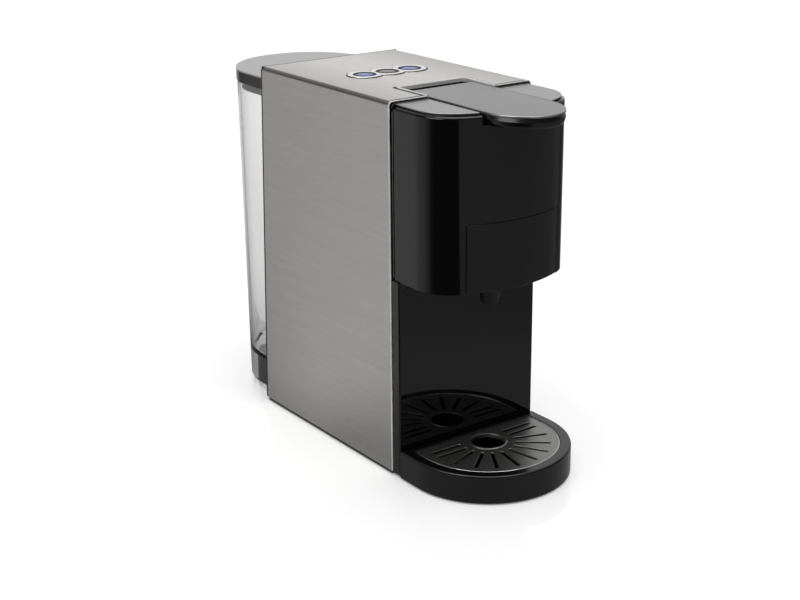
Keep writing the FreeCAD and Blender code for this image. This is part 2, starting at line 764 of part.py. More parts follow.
def make_lever():
    """Black body with its hub and pusher, and the satin plate on top."""
    shell = prism("lever_shell", [lever_outline(0, lever_rear)], lever_under,
                  lever_top - D["lever_skin"])
    hub = rod("lever_hub", "x", -D["hub_half"], pin_y, pin_z, D["hub_radius"], D["hub_half"] * 2)
    pusher = rod("lever_pusher", "z", 0, brew_y, press_top() + 0.4, 8,
                 lever_under - press_top() + 1)
    rib_half = 1.5
    ribs = [block(f"lever_rib_{index}", size(x) - rib_half, size(x) + rib_half, brew_y - 4, pin_y,
                  lever_under - 4, lever_under + 1)
            for index, x in enumerate((-18, 18))]
    bore = rod("lever_bore", "x", -D["hub_half"] - 1, pin_y, pin_z, D["pin_radius"] + D["pin_play"],
               D["hub_half"] * 2 + 2)
    solid = joined("lever_solid", shell, hub, pusher, *ribs)
    keep(cut("lever_body", solid, bore), "lever_body")
    plate = prism("lever_plate", [lever_outline(0, lever_rear)], lever_top - D["lever_skin"], lever_top)
    keep(plate, "lever_plate")


# ---- brew press ------------------------------------------------------------------------------

def press_low():
    return drawer_top + D["press_gap"]


def press_top():
    return pin_z - 4


def make_press():
    """Stem with its crosshead and head, the seal ring and the piercing needles."""
    low = press_low() + 3.5
    radius = D["press_radius"]
    crown = press_top() - low
    profile = [
        (0, 0), (radius, 0), (radius, 7), (radius - 3, 10), (D["stem_radius"], 10),
        (D["stem_radius"], crown - 5), (12, crown - 5), (12, crown - 1), (11, crown), (0, crown),
    ]
    keep(turned("press_head", profile, 0, brew_y, low), "press_head")
    seal = [(radius - 5, 0.4), (radius - 4.6, 0), (radius - 0.6, 0), (radius - 0.2, 0.4), (radius - 0.2, 3.5),
            (radius - 5, 3.5)]
    keep(turned("press_seal", seal, 0, brew_y, press_low()), "press_seal")
    plate = turned("needle_plate", [(0, 1.9), (12, 1.9), (12, 3.5), (0, 3.5)], 0, brew_y, press_low())
    needles = [cone(f"needle_{index}", 7 * math.cos(angle), brew_y + 7 * math.sin(angle),
                    press_low() + 0.1, 0.2, 1.1, 2.4)
               for index, angle in enumerate(math.radians(90 + 120 * turn) for turn in range(3))]
    keep(joined("press_needles_solid", plate, *needles), "press_needles")


def shelf_top():
    return head_floor + 77


def make_press_guide():
    """Shelf on the bulkhead with the bushing that guides the press stem."""
    top = shelf_top()
    plate = block("shelf_plate", -42, 42, brew_y - 16, steel_front, top - 3, top)
    webs = [block(f"shelf_web_{index}", x, x + 3, brew_y + 2, steel_front, top, top + 16)
            for index, x in enumerate((-42, 39))]
    hole = rod("shelf_hole", "z", 0, brew_y, top - 5, D["stem_radius"] + 2, 10)
    keep(cut("press_shelf", joined("shelf_solid", plate, *webs), hole), "press_shelf")
    bush = rod("guide_barrel", "z", 0, brew_y, top, 14, 17)
    union = rod("guide_union", "y", 0, brew_y + 10, top + 9, 3.6, 14)
    bore = rod("guide_bore", "z", 0, brew_y, top - 1, D["stem_radius"] + D["stem_play"], 20)
    way = rod("guide_waterway", "y", 0, brew_y + 10, top + 9, 1.4, 15)
    keep(cut("brew_guide", joined("guide_solid", bush, union), bore, way), "brew_guide")


def make_press_spring():
    """Return spring between the guide and the crosshead."""
    low = shelf_top() + 17.9
    high = press_top() - 5.9
    turns = 3
    helix = Part.makeHelix((high.value - low.value) / turns, high.value - low.value, 9.4)
    helix.translate(Vector(0, brew_y.value, low.value))
    start = helix.Edges[0].valueAt(helix.Edges[0].FirstParameter)
    along = helix.Edges[0].tangentAt(helix.Edges[0].FirstParameter)
    wire = Part.Wire([Part.Circle(start, along, 0.7).toShape()])
    spring = doc.addObject("Part::Feature", "press_spring")
    spring.Shape = Part.Wire(helix.Edges).makePipeShell([wire], True, True)
    keep(spring, "press_spring")


# ---- capsule drawer ------------------------------------------------------------------------------

def make_drawer():
    """Curved front, carrier with side flanges, capsule cup and spout."""
    wall = D["drawer_wall"]
    front_high = drawer_top
    front_low = head_floor + D["seam"]
    outer = prism("drawer_front_outer", [head_outline(0, brew_y)], front_low, front_high)
    inner = prism("drawer_front_inner", [head_outline(wall, brew_y + 5)], front_low - 1, front_high + 1)
    window = block("drawer_front_window", -D["drawer_half"], D["drawer_half"], lever_front, brew_y - 12.5,
                   front_low, front_high)
    skin = cut("drawer_front_skin", outer, inner)
    keep(shared("drawer_front", skin, window), "drawer_front")

    low, high = head_floor + 9, front_high - 1
    carrier = block("carrier_blank", -D["carrier_half"], D["carrier_half"], lever_front, steel_front - 8.3, low,
                    high)
    limits = prism("carrier_limits", [head_outline(wall, steel_front - 8.3)], low - 1, high + 1)
    trimmed = shared("carrier_trimmed", carrier, limits)
    flange_low = low + 13
    flanges = [block(f"carrier_flange_{index}", x0, x1, brew_y - 18, steel_front - 8.3, flange_low,
                     flange_low + D["flange_height"])
               for index, (x0, x1) in enumerate(((-D["carrier_half"] - 4, -D["carrier_half"] + 1),
                                                 (D["carrier_half"] - 1, D["carrier_half"] + 4)))]
    bowl = rod("carrier_bowl", "z", 0, brew_y, low + 4, D["bowl_radius"] + 1.5, 60)
    drain = rod("carrier_drain", "z", 0, brew_y, low - 1, 9, 10)
    pockets = [block(f"carrier_pocket_{index}", x0, x1, brew_y + 20, steel_front - 12, low + 4, high + 1)
               for index, (x0, x1) in enumerate(((-30, -21), (21, 30)))]
    keep(cut("drawer_carrier", joined("carrier_solid", trimmed, *flanges), bowl, drain, *pockets),
         "drawer_carrier")

    depth = high - low - 4
    radius = D["bowl_radius"]
    cup = [
        (0, 0), (radius - 6, 0), (radius - 3, 3), (radius, depth - 3), (radius + 1.5, depth - 3),
        (radius + 1.5, depth), (radius - 1.2, depth), (radius - 1.6, depth - 3), (radius - 4.4, 4),
        (radius - 6.8, 1.6), (8, 1.6), (0, 1.6),
    ]
    shell = turned("cup_shell", cup, 0, brew_y, low + 4)
    spikes = [cone(f"cup_spike_{index}", 6 * math.cos(angle), brew_y + 6 * math.sin(angle), low + 5.4,
                   1.5, 0.3, 5)
              for index, angle in enumerate(math.radians(60 * turn) for turn in range(6))]
    drains = [rod(f"cup_drain_{index}", "z", 3 * math.cos(angle), brew_y + 3 * math.sin(angle), low + 3, 0.9, 4)
              for index, angle in enumerate(math.radians(30 + 60 * turn) for turn in range(6))]
    keep(cut("capsule_cup", joined("cup_solid", shell, *spikes), *drains), "capsule_cup")

    top = low - (head_floor - D["spout_drop"])
    profile = [
        (4.2, 0), (6.2, 0), (7.4, 8), (13, top - 4), (14, top), (9, top), (8.4, top - 4), (5.4, 8.6),
    ]
    keep(turned("outlet_spout", profile, 0, brew_y, head_floor - D["spout_drop"]), "outlet_spout")


def make_drawer_rails():
    """Grooved rails on the head floor that carry the drawer's flanges."""
    play = 0.3
    low = head_floor + D["head_wall"]
    flange_low = head_floor + 9 + 13
    rails = []
    for side in (-1, 1):
        near = D["carrier_half"] + 0.8
        edges = sorted(((near * side), ((near + 9) * side)), key=lambda edge: edge.value)
        rail = block(f"rail_{side}", edges[0], edges[1], brew_y - 11.5, steel_front, low, flange_low + 9)
        groove_edges = sorted(((near - 1) * side, (D["carrier_half"] + 4 + play) * side),
                              key=lambda edge: edge.value)
        groove = block(f"rail_groove_{side}", groove_edges[0], groove_edges[1], brew_y - 20, steel_front - 7.6,
                       flange_low - play, flange_low + D["flange_height"] + play)
        rails.append(cut(f"rail_cut_{side}", rail, groove))
    keep(group("drawer_rails", *rails), "drawer_rails")


# ---- buttons ---------------------------------------------------------------------------------

def make_buttons():
    """Three-lobed bezel with a bore for each button, and the three stepped buttons."""
    row = D["button_row"]
    cap = D["button_diameter"] / 2
    bore = cap + D["button_play"]
    high = steel_top + D["bezel_height"]
    lobes = [rod(f"bezel_lobe_{index}", "z", D["button_pitch"] * place_x, row, steel_top, D["lobe_radius"],
                 D["bezel_height"])
             for index, place_x in enumerate((-1, 0, 1))]
    collar = block("bezel_collar", -D["button_pitch"] - cap - 1.7, D["button_pitch"] + cap + 1.7,
                   row - cap - 1.7, row + cap + 1.7, steel_top - 3.6, steel_top)
    bores = [rod(f"bezel_bore_{index}", "z", D["button_pitch"] * place_x, row, steel_top - 5, bore, 10)
             for index, place_x in enumerate((-1, 0, 1))]
    keep(cut("button_bezel", joined("bezel_solid", *lobes, collar), *bores), "button_bezel")
    for name, place_x in (("button_left", -1), ("button_middle", 0), ("button_right", 1)):
        rise = high - (steel_top - 5.4)
        profile = [
            (0, -7.4), (2.5, -7.4), (2.5, 0), (cap + 1.4, 0), (cap + 1.4, 1.4), (cap, 1.4),
            (cap, rise - 0.6), (cap - 0.6, rise), (cap - 2, rise + 0.1), (0, rise + 0.1),
        ]
        keep(turned(name, profile, D["button_pitch"] * place_x, row, steel_top - 5.4), name)


def make_button_board():
    """Board under the buttons with its three switches, on four pillars of the well's rear."""
    row = D["button_row"]
    switch_top = steel_top - 5.4 - 7.4 - D["button_travel"] - 0.2
    board_top = switch_top - 4
    board = block("button_board_sheet", -44, 44, row - 14, row + 14, board_top - 1.6, board_top)
    switches = [block(f"switch_{index}", D["button_pitch"] * place_x - 3, D["button_pitch"] * place_x + 3,
                      row - 3, row + 3, board_top, board_top + 2.8)
                for index, place_x in enumerate((-1, 0, 1))]
    plungers = [rod(f"switch_plunger_{index}", "z", D["button_pitch"] * place_x, row, board_top + 2.8, 1.7, 1.2)
                for index, place_x in enumerate((-1, 0, 1))]
    keep(joined("button_board", board, *switches, *plungers), "button_board")
    under = board_top - 1.6
    tray = block("board_shelf_plate", -52, 52, row - 18, row + 18, under - 9, under - 6)
    pillars = [rod(f"board_pillar_{index}", "z", x, row + y, under - 6, 3, 6)
               for index, (x, y) in enumerate(((-40, -11), (40, -11), (-40, 11), (40, 11)))]
    hangers = [block(f"board_hanger_{index}", x, x + 3, row - 18, row + 18, under - 6, steel_top - D["steel_wall"])
               for index, x in enumerate((-52, 49))]
    keep(joined("board_shelf", tray, *pillars, *hangers), "board_shelf")


# ---- drip tray ---------------------------------------------------------------------------------

def make_drip_tray():
    """Half round tray with a ledge for the grille and two tongues that enter the base."""
    wall = D["tray_wall"]
    play = D["grille_play"]
    tray = prism("drip_tray_blank", [round_front(tray_half, tray_rear, tray_start)], D["tray_drop"],
                 D["tray_height"])
    grille_edge = column_front - D["grille_rear"]
    pocket(tray, "XY_Plane", D["tray_height"],
           [round_front(grille_half + play, grille_edge + play, tray_start)], D["tray_height"] - grille_under)
    ledge = D["grille_ledge"]
    pocket(tray, "XY_Plane", grille_under, [round_front(grille_half - ledge, grille_edge - ledge, tray_start)],
           grille_under - D["tray_drop"] - wall)
    pocket(tray, "XY_Plane", grille_under - 2.5, [round_front(tray_half - wall, tray_rear - wall, tray_start)],
           grille_under - 2.5 - D["tray_drop"] - wall)
    tongues = [block(f"tray_tongue_{index}", x, x + 10, tray_rear - 0.5, steel_front + 7, D["base_gap"] + 1,
                     floor_top + 2)
               for index, x in enumerate((-40, 30))]
    keep(joined("drip_tray", tray, *tongues), "drip_tray")


def make_drip_grille():
    """Half round plate with the cup hole, two rows of straight slots and a fan of radial ones."""
    edge = column_front - D["grille_rear"]
    plate = prism("grille_plate", [round_front(grille_half, edge, tray_start)], grille_under, grille_top)
    width = D["slot_width"]
    tools = [rod("grille_hole", "z", 0, brew_y, grille_under - 1, D["cup_hole"], 5)]
    for index, (side, row) in enumerate((side, row) for side in (-1, 1) for row in (0, 7.4)):
        ends = sorted((D["slot_start"] * side, D["slot_end"] * side), key=lambda end: end.value)
        tools.append(block(f"grille_row_{index}", ends[0], ends[1], brew_y + row - width / 2,
                           brew_y + row + width / 2, grille_under - 1, grille_top + 1))
    for index, angle in enumerate((10.5, 31, 50, 70, -10.5, -31, -50, -70)):
        slot = doc.addObject("Part::Box", f"grille_ray_{index}")
        bind(slot, "Length", width)
        bind(slot, "Width", D["slot_end"] - D["slot_start"])
        bind(slot, "Height", D["grille_sheet"] + 2)
        turn = Rotation(Vector(0, 0, 1), 180 + angle)
        corner = turn.multVec(Vector(1, 0, 0))
        away = turn.multVec(Vector(0, 1, 0))
        place(slot, -width / 2 * corner.x + D["slot_start"] * away.x,
              brew_y - width / 2 * corner.y + D["slot_start"] * away.y, grille_under - 1, turn)
        tools.append(slot)
    keep(cut("drip_grille", plate, *tools), "drip_grille")
    collar = turned("grille_ring", [(D["cup_hole"] - 0.6, -2.4), (D["cup_hole"], -2.4), (D["cup_hole"], 0),
                                    (D["cup_hole"] + 1.4, 0), (D["cup_hole"] + 1.4, 0.3),
                                    (D["cup_hole"] + 0.8, 0.7), (D["cup_hole"] - 0.2, 0.7),
                                    (D["cup_hole"] - 0.6, 0.3)], 0, brew_y, grille_top)
    keep(collar, "grille_ring")


# ---- water tank ---------------------------------------------------------------------------------

def tank_front(height):
    return steel_rear + lean_at(height) + D["rear_skin"] + D["tank_gap"]


def tank_outline(height, inset):
    """Outline of the tank at a height: its half width narrows towards the foot."""
    share = (lid_under - height) / (lid_under - D["tank_foot"])
    half = tank_half - D["tank_taper"] * share - inset
    return round_rear(half, tank_front(height) + inset, lid_start)


def loft(name, low, high, inset):
    body = new_body(name)
    feature = body.newObject("PartDesign::AdditiveLoft", f"{name}_loft")
    feature.Profile = draw(body, "XY_Plane", low, [tank_outline(size(low), inset)])
    feature.Sections = [draw(body, "XY_Plane", high, [tank_outline(size(high), inset)])]
    feature.Ruled = True
    body.Tip = feature
    return body


def make_tank():
    """Clear tank: a tapered shell with a floor and a skirt that stands over the base's block."""
    wall = D["tank_wall"]
    outer = loft("tank_outer", D["tank_foot"], lid_under, 0)
    inner = loft("tank_inner", D["tank_floor"] + wall, lid_under + 1, wall)
    skirt = loft("tank_skirt_space", D["tank_foot"] - 1, D["tank_floor"], wall)
    mouth = block("tank_skirt_mouth", -D["block_half"] - 1.2, D["block_half"] + 1.2, steel_rear, socket_y, 0,
                  D["tank_floor"])
    hole = rod("tank_floor_hole", "z", 0, socket_y, D["tank_floor"] - 1, D["nipple_radius"] + 1.6, wall + 2)
    notch = block("tank_cord_notch", D["block_half"], half_width, cord_y - 8, cord_y + 8, 0, D["tank_floor"])
    keep(cut("tank_shell", outer, inner, skirt, mouth, hole, notch), "tank_shell")
    top = D["tank_floor"] + wall
    bore = D["nipple_radius"] + 1.6
    sleeve = [
        (bore, 0), (bore + 4, 0), (bore + 4, 13), (bore + 2, 13), (bore + 2, 22), (bore, 22), (bore, 17.5),
        (3.2, 17.5), (3.2, 15), (bore, 15),
    ]
    keep(turned("tank_valve_body", sleeve, 0, socket_y, top), "tank_valve_body")
    poppet = [(0, -5.2), (2, -5.2), (2, 0), (bore - 0.8, 0), (bore - 0.8, 1.2), (2, 1.8), (0, 1.8)]
    keep(turned("valve_poppet", poppet, 0, socket_y, top + 17.5), "valve_poppet")
    strainer = [(bore + 2.1, 13), (bore + 3.6, 13), (bore + 3.6, 27), (0, 27), (0, 25.8), (bore + 2.1, 25.8)]
    cage = turned("strainer_cage", strainer, 0, socket_y, top)
    windows = [block(f"strainer_window_{index}", -bore - 6, bore + 6, socket_y - 1.2 + shift,
                     socket_y + 1.2 + shift, top + 15, top + 23)
               for index, shift in enumerate((-6, 0, 6))]
    keep(cut("tank_strainer", cage, *windows), "tank_strainer")


def make_tank_socket():
    """Socket on the base's block: a flange, the nipple with its pin, and the sealing ring."""
    low = block_top
    radius = D["nipple_radius"]
    profile = [(2.2, -6), (4.9, -6), (4.9, 0), (11, 0), (11, 2), (radius, 2), (radius, 9), (radius - 0.9, 9.2),
               (radius - 0.9, 10.8), (radius, 11), (radius, 13.6), (2.2, 13.6)]
    barrel = turned("socket_barrel", profile, 0, socket_y, low)
    pin = rod("socket_pin", "z", 0, socket_y, low + 12, 1.2, 5)
    bridge = block("socket_bridge", -radius + 1.5, radius - 1.5, socket_y - 0.8, socket_y + 0.8, low + 11,
                   low + 13.6)
    keep(joined("tank_socket", barrel, pin, bridge), "tank_socket")
    seal = turned("socket_seal", [(radius - 0.9, 9.3), (radius + 0.9, 9.3), (radius + 1.3, 10),
                                  (radius + 0.9, 10.7), (radius - 0.9, 10.7)], 0, socket_y, low)
    keep(seal, "socket_seal")


def make_lid():
    """Lid body, its satin plate and the grey skirt that reaches into the tank."""
    body_top = lid_top - D["lid_plate"]
    front = steel_rear + lean_at(lid_under) + D["rear_skin"] + 0.7
    lid = prism("lid_body", [round_rear(D["lid_radius"], front, lid_start)], lid_under, body_top)
    keep(lid, "lid_body")
    plate = prism("lid_plate", [round_rear(D["lid_radius"], front, lid_start)], body_top, lid_top)
    keep(plate, "lid_plate")
    wall = D["tank_wall"] + 1
    outline = tank_outline(lid_under, wall)
    inside = tank_outline(lid_under, wall + 2.2)
    front_edge = tank_front(lid_under - 7) + wall
    inner_edge = front_edge + 2.2
    outline[0] = (outline[0][0], front_edge)
    outline[-1] = (outline[-1][0], front_edge)
    inside[0] = (inside[0][0], inner_edge)
    inside[-1] = (inside[-1][0], inner_edge)
    skirt = prism("lid_skirt", [outline, inside], lid_under - 6.5, lid_under)
    keep(skirt, "lid_skirt")


# ---- water and heat inside the body ------------------------------------------------------------------

PUMP_X = -26
PUMP_Z = 44
HEATER = (8, 52, -54, 18, 34, 78)
METER = (28, 52, 24)


def make_pump():
    """Vibration pump: coil box and yoke on a brass tube, hung in two rubber mounts."""
    box = block("pump_coil", PUMP_X - 21, PUMP_X + 21, -22, 26, PUMP_Z - 20, PUMP_Z + 20)
    yoke = block("pump_yoke", PUMP_X - 12, PUMP_X + 12, -26, 30, PUMP_Z - 23, PUMP_Z + 23)
    barrel = rod("pump_tube", "y", PUMP_X, -56, PUMP_Z, 8, 112)
    ports = [rod(f"pump_port_{index}", "y", PUMP_X, y, PUMP_Z, 3.6, 10) for index, y in enumerate((-66, 56))]
    ways = [rod(f"pump_way_{index}", "y", PUMP_X, y, PUMP_Z, 1.6, 20) for index, y in enumerate((-67, 47))]
    keep(cut("pump", joined("pump_solid", box, yoke, barrel, *ports), *ways), "pump")
    mounts = []
    cradles = []
    for index, y in enumerate((-46, 42)):
        outer = rod(f"pump_mount_outer_{index}", "y", PUMP_X, y, PUMP_Z, 14, 6)
        inner = rod(f"pump_mount_inner_{index}", "y", PUMP_X, y - 1, PUMP_Z, 8, 8)
        mounts.append(cut(f"pump_mount_{index}", outer, inner))
        stand = block(f"pump_cradle_stand_{index}", PUMP_X - 19, PUMP_X + 19, y + 1, y + 5, floor_top, PUMP_Z + 4)
        seat = rod(f"pump_cradle_seat_{index}", "y", PUMP_X, y - 1, PUMP_Z, 14, 8)
        cradles.append(cut(f"pump_cradle_{index}", stand, seat))
    keep(group("pump_mounts", *mounts), "pump_mounts")
    keep(group("pump_cradles", *cradles), "pump_cradles")


def make_heater():
    """Cast heater block with its ribs and two unions, its legs and the clipped thermostat."""
    x0, x1, y0, y1, z0, z1 = HEATER
    cast = block("heater_cast", x0, x1, y0, y1, z0, z1)
    ribs = [block(f"heater_rib_{index}", x0 + 3, x1 - 3, y0 + 6 + 10 * index, y0 + 9 + 10 * index, z1, z1 + 5)
            for index in range(3, 7)]
    unions = [rod(f"heater_union_{index}", "z", 30, y, z1, 4, 9) for index, y in enumerate((-44, 8))]
    ways = [rod(f"heater_way_{index}", "z", 30, y, z1 - 4, 1.6, 20) for index, y in enumerate((-44, 8))]
    keep(cut("heater_block", joined("heater_solid", cast, *ribs[:2], *unions), *ways), "heater_block")
    legs = [block(f"heater_leg_{index}", x0 + 2, x1 - 2, y, y + 2, floor_top, z0) for index, y in enumerate((-50, 12))]
    feet = [block(f"heater_leg_foot_{index}", x0 + 2, x1 - 2, y, y + 10, floor_top, floor_top + 2)
            for index, y in enumerate((-50, 4))]
    pairs = [joined(f"heater_bracket_{index}", leg, foot) for index, (leg, foot) in enumerate(zip(legs, feet))]
    keep(group("heater_legs", *pairs), "heater_legs")
    can = rod("thermostat_can", "x", x1, -20, 56, 8, 4)
    boss = rod("thermostat_boss", "x", x1 + 4, -20, 56, 5, 3)
    keep(joined("thermostat", can, boss), "thermostat")


def make_flow_meter():
    x, y, z = METER
    drum = rod("meter_drum", "z", x, y, z, 15, 14)
    cap = rod("meter_cap", "z", x, y, z + 14, 11, 4)
    stand = rod("meter_stand", "z", x, y, floor_top, 6, size(z) - floor_top)
    ports = [rod("meter_inlet", "y", x, y + 12, z + 7, 3.4, 12),
             rod("meter_outlet", "x", x - 26, y, z + 7, 3.4, 14)]
    keep(joined("flow_meter", drum, cap, stand, *ports), "flow_meter")


def make_hoses():
    """Four hoses, each from the end of one union to the next."""
    radius = D["hose_radius"].value
    bore = 1.5
    x, y, z = METER[0], METER[1], METER[2] + 7
    channel = D["base_gap"] + 8.5
    keep(tube("hose_tank", [
        (0, socket_y, D["tank_floor"] - 8.5), (0, socket_y, channel), (0, 84, channel), (0, 84, z),
        (x, 84, z), (x, y + 24, z),
    ], 6, radius, bore), "hose_tank")
    keep(tube("hose_pump", [
        (x - 26, y, z), (-10, y, z), (-10, 78, z), (-10, 78, PUMP_Z), (PUMP_X, 78, PUMP_Z),
        (PUMP_X, 66, PUMP_Z),
    ], 5.5, radius, bore), "hose_pump")
    top = HEATER[5] + 9
    keep(tube("hose_heater", [
        (PUMP_X, -66, PUMP_Z), (PUMP_X, -73.5, PUMP_Z), (PUMP_X, -73.5, 100), (PUMP_X, 8, 100),
        (30, 8, 100), (30, 8, top),
    ], 7, radius, bore), "hose_heater")
    inlet = shelf_top() + 9
    keep(tube("hose_brew", [
        (30, -44, top), (30, -44, inlet), (0, -44, inlet), (0, brew_y + 24, inlet),
    ], 14, radius, bore), "hose_brew")


def make_control_board():
    """Mains board on a carrier plate that stands at the left side."""
    left = -inside_half + 1
    carrier = block("carrier_plate", left, left + 2, -62, 44, floor_top, 196)
    foot = block("carrier_foot", left, left + 9, -62, 44, floor_top, floor_top + 2)
    studs = [rod(f"carrier_stud_{index}", "x", left + 2, y, z, 3, 4)
             for index, (y, z) in enumerate(((-54, 112), (36, 112), (-54, 186), (36, 186)))]
    keep(joined("board_carrier", carrier, foot, *studs), "board_carrier")
    face = left + 6
    sheet_body = block("control_sheet", face, face + 1.6, -60, 42, 106, 192)
    relay = block("control_relay", face + 1.6, face + 17, -50, -32, 120, 148)
    choke = rod("control_choke", "x", face + 1.6, -6, 132, 9, 10)
    capacitor = rod("control_capacitor", "x", face + 1.6, 24, 128, 8, 22)
    triac = block("control_triac", face + 1.6, face + 6, -46, -34, 160, 178)
    chip = block("control_chip", face + 1.6, face + 4, -12, 8, 162, 174)
    plug = block("control_plug", face + 1.6, face + 11, 18, 38, 160, 170)
    keep(joined("control_board", sheet_body, relay, choke, capacitor, triac, chip, plug), "control_board")


# ---- build, check and write ----------------------------------------------------------------------------

make_steel_wrap()
make_notch_trim()
make_base_frame()
make_feet()
make_base_screws()
make_bulkhead()
make_column_panel()
make_rear_panel()
make_cord_gland()
make_head_housing()
make_head_plates()
make_lever_well()
make_lever_pin()
make_lever()
make_press()
make_press_guide()
make_press_spring()
make_drawer()
make_drawer_rails()
make_buttons()
make_button_board()
make_drip_tray()
make_drip_grille()
make_tank()
make_tank_socket()
make_lid()
make_pump()
make_heater()
make_flow_meter()
make_hoses()
make_control_board()
doc.recompute()

faults = [item.Name for item in doc.Objects if "Invalid" in item.State or "Error" in item.State]
for name, item in nodes.items():
    if item.Shape.isNull() or not item.Shape.isValid() or not item.Shape.Solids:
        faults.append(name)
if faults:
    raise RuntimeError("failed objects: " + ", ".join(faults))
for name, item in nodes.items():
    item.Shape.exportStep(f"parts/{name}.step")
    print(name, len(item.Shape.Solids), round(item.Shape.Volume, 1))
print(len(nodes), "nodes")
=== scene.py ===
import json
import math

import bmesh
import bpy
from mathutils import Matrix, Vector


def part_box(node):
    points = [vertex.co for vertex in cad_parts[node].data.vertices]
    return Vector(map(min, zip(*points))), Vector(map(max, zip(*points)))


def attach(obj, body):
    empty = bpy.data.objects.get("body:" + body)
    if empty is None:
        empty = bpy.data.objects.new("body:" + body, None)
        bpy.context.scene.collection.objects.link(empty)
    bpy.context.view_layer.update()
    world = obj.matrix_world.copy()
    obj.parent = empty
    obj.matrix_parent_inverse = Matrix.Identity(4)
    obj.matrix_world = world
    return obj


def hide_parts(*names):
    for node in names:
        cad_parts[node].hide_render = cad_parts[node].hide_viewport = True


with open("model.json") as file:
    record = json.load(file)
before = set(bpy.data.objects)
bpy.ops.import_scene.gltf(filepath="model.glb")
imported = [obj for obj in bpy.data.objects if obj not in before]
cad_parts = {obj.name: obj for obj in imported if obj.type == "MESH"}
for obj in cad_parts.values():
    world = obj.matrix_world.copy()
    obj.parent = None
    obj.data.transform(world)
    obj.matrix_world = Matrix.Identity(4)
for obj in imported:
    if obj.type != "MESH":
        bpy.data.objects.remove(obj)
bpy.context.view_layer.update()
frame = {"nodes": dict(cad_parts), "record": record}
MM = 0.001


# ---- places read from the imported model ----

def box(node):
    """Lowest and highest corner of a CAD node in millimetres."""
    low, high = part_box(node)
    return Vector(low) / MM, Vector(high) / MM


WRAP_LOW, WRAP_HIGH = box("steel_wrap")
HEAD_LOW, HEAD_HIGH = box("head_housing")
COLUMN_LOW, COLUMN_HIGH = box("column_panel")
LEVER_LOW, LEVER_HIGH = box("lever_plate")
TRAY_LOW, TRAY_HIGH = box("drip_tray")
GRILLE_LOW, GRILLE_HIGH = box("drip_grille")
DRAWER_LOW, DRAWER_HIGH = box("drawer_front")
CARRIER_LOW = box("drawer_carrier")[0]
TANK_LOW, TANK_HIGH = box("tank_shell")
LID_LOW, LID_HIGH = box("lid_plate")
BEZEL_LOW, BEZEL_HIGH = box("button_bezel")
SPOUT_LOW, SPOUT_HIGH = box("outlet_spout")
PIN_LOW, PIN_HIGH = box("lever_pin")

STEEL_FRONT = WRAP_LOW.y
STEEL_TOP = WRAP_HIGH.z
STEEL_HALF = WRAP_HIGH.x
REAR_LEAN = 10.5
STEEL_REAR = WRAP_HIGH.y - REAR_LEAN
BREW_Y = (SPOUT_LOW.y + SPOUT_HIGH.y) / 2
BUTTON_ROW = (BEZEL_LOW.y + BEZEL_HIGH.y) / 2
BUTTON_PITCH = 20.6
BUTTON_HOLE = 8.1
PIN_Y = (PIN_LOW.y + PIN_HIGH.y) / 2
PIN_Z = (PIN_LOW.z + PIN_HIGH.z) / 2


# ---- finishes ----

def new_finish(name, colour, metallic=0.0, roughness=0.4, **sockets):
    """Material with one Principled shader; the node tree, shader and coordinates are returned."""
    material = bpy.data.materials.new(name)
    material.use_nodes = True
    material.diffuse_color = (*colour, 1)
    tree = material.node_tree
    shader = tree.nodes["Principled BSDF"]
    shader.inputs["Base Color"].default_value = (*colour, 1)
    shader.inputs["Metallic"].default_value = metallic
    shader.inputs["Roughness"].default_value = roughness
    for label, value in sockets.items():
        shader.inputs[label.replace("_", " ")].default_value = value
    place = tree.nodes.new("ShaderNodeTexCoord")
    return material, tree, shader, place.outputs["Object"]


def stretched(tree, place, scale):
    mapping = tree.nodes.new("ShaderNodeMapping")
    mapping.inputs["Scale"].default_value = scale
    tree.links.new(place, mapping.inputs["Vector"])
    return mapping.outputs["Vector"]


def cloud(tree, place, scale, detail=4.0, roughness=0.55):
    noise = tree.nodes.new("ShaderNodeTexNoise")
    noise.inputs["Scale"].default_value = scale
    noise.inputs["Detail"].default_value = detail
    noise.inputs["Roughness"].default_value = roughness
    tree.links.new(place, noise.inputs["Vector"])
    return noise.outputs["Fac"]


def spread(tree, value, low, high, from_low=0.3, from_high=0.7):
    """Map a pattern onto a range of values."""
    ranger = tree.nodes.new("ShaderNodeMapRange")
    ends = {"From Min": from_low, "From Max": from_high, "To Min": low, "To Max": high}
    for label, number in ends.items():
        ranger.inputs[label].default_value = number
    tree.links.new(value, ranger.inputs["Value"])
    return ranger.outputs["Result"]


def blend_colours(tree, value, first, second):
    mix = tree.nodes.new("ShaderNodeMix")
    mix.data_type = "RGBA"
    mix.inputs[6].default_value = (*first, 1)
    mix.inputs[7].default_value = (*second, 1)
    tree.links.new(value, mix.inputs[0])
    return mix.outputs[2]


def combined(tree, operation, *values):
    """Sum, product or the like of numbers and other nodes' outlets."""
    node = tree.nodes.new("ShaderNodeMath")
    node.operation = operation
    for index, value in enumerate(values):
        if isinstance(value, float):
            node.inputs[index].default_value = value
        else:
            tree.links.new(value, node.inputs[index])
    return node.outputs[0]


def shaded(tree, tone, grey, share):
    """Tone multiplied by a grey as far as share says."""
    mix = tree.nodes.new("ShaderNodeMix")
    mix.data_type = "RGBA"
    mix.blend_type = "MULTIPLY"
    mix.inputs[7].default_value = (grey, grey, grey, 1)
    tree.links.new(tone, mix.inputs[6])
    tree.links.new(share, mix.inputs[0])
    return mix.outputs[2]


def relief(tree, shader, height, depth, strength=1.0):
    bump = tree.nodes.new("ShaderNodeBump")
    bump.inputs["Strength"].default_value = strength
    bump.inputs["Distance"].default_value = depth
    tree.links.new(height, bump.inputs["Height"])
    tree.links.new(bump.outputs["Normal"], shader.inputs["Normal"])


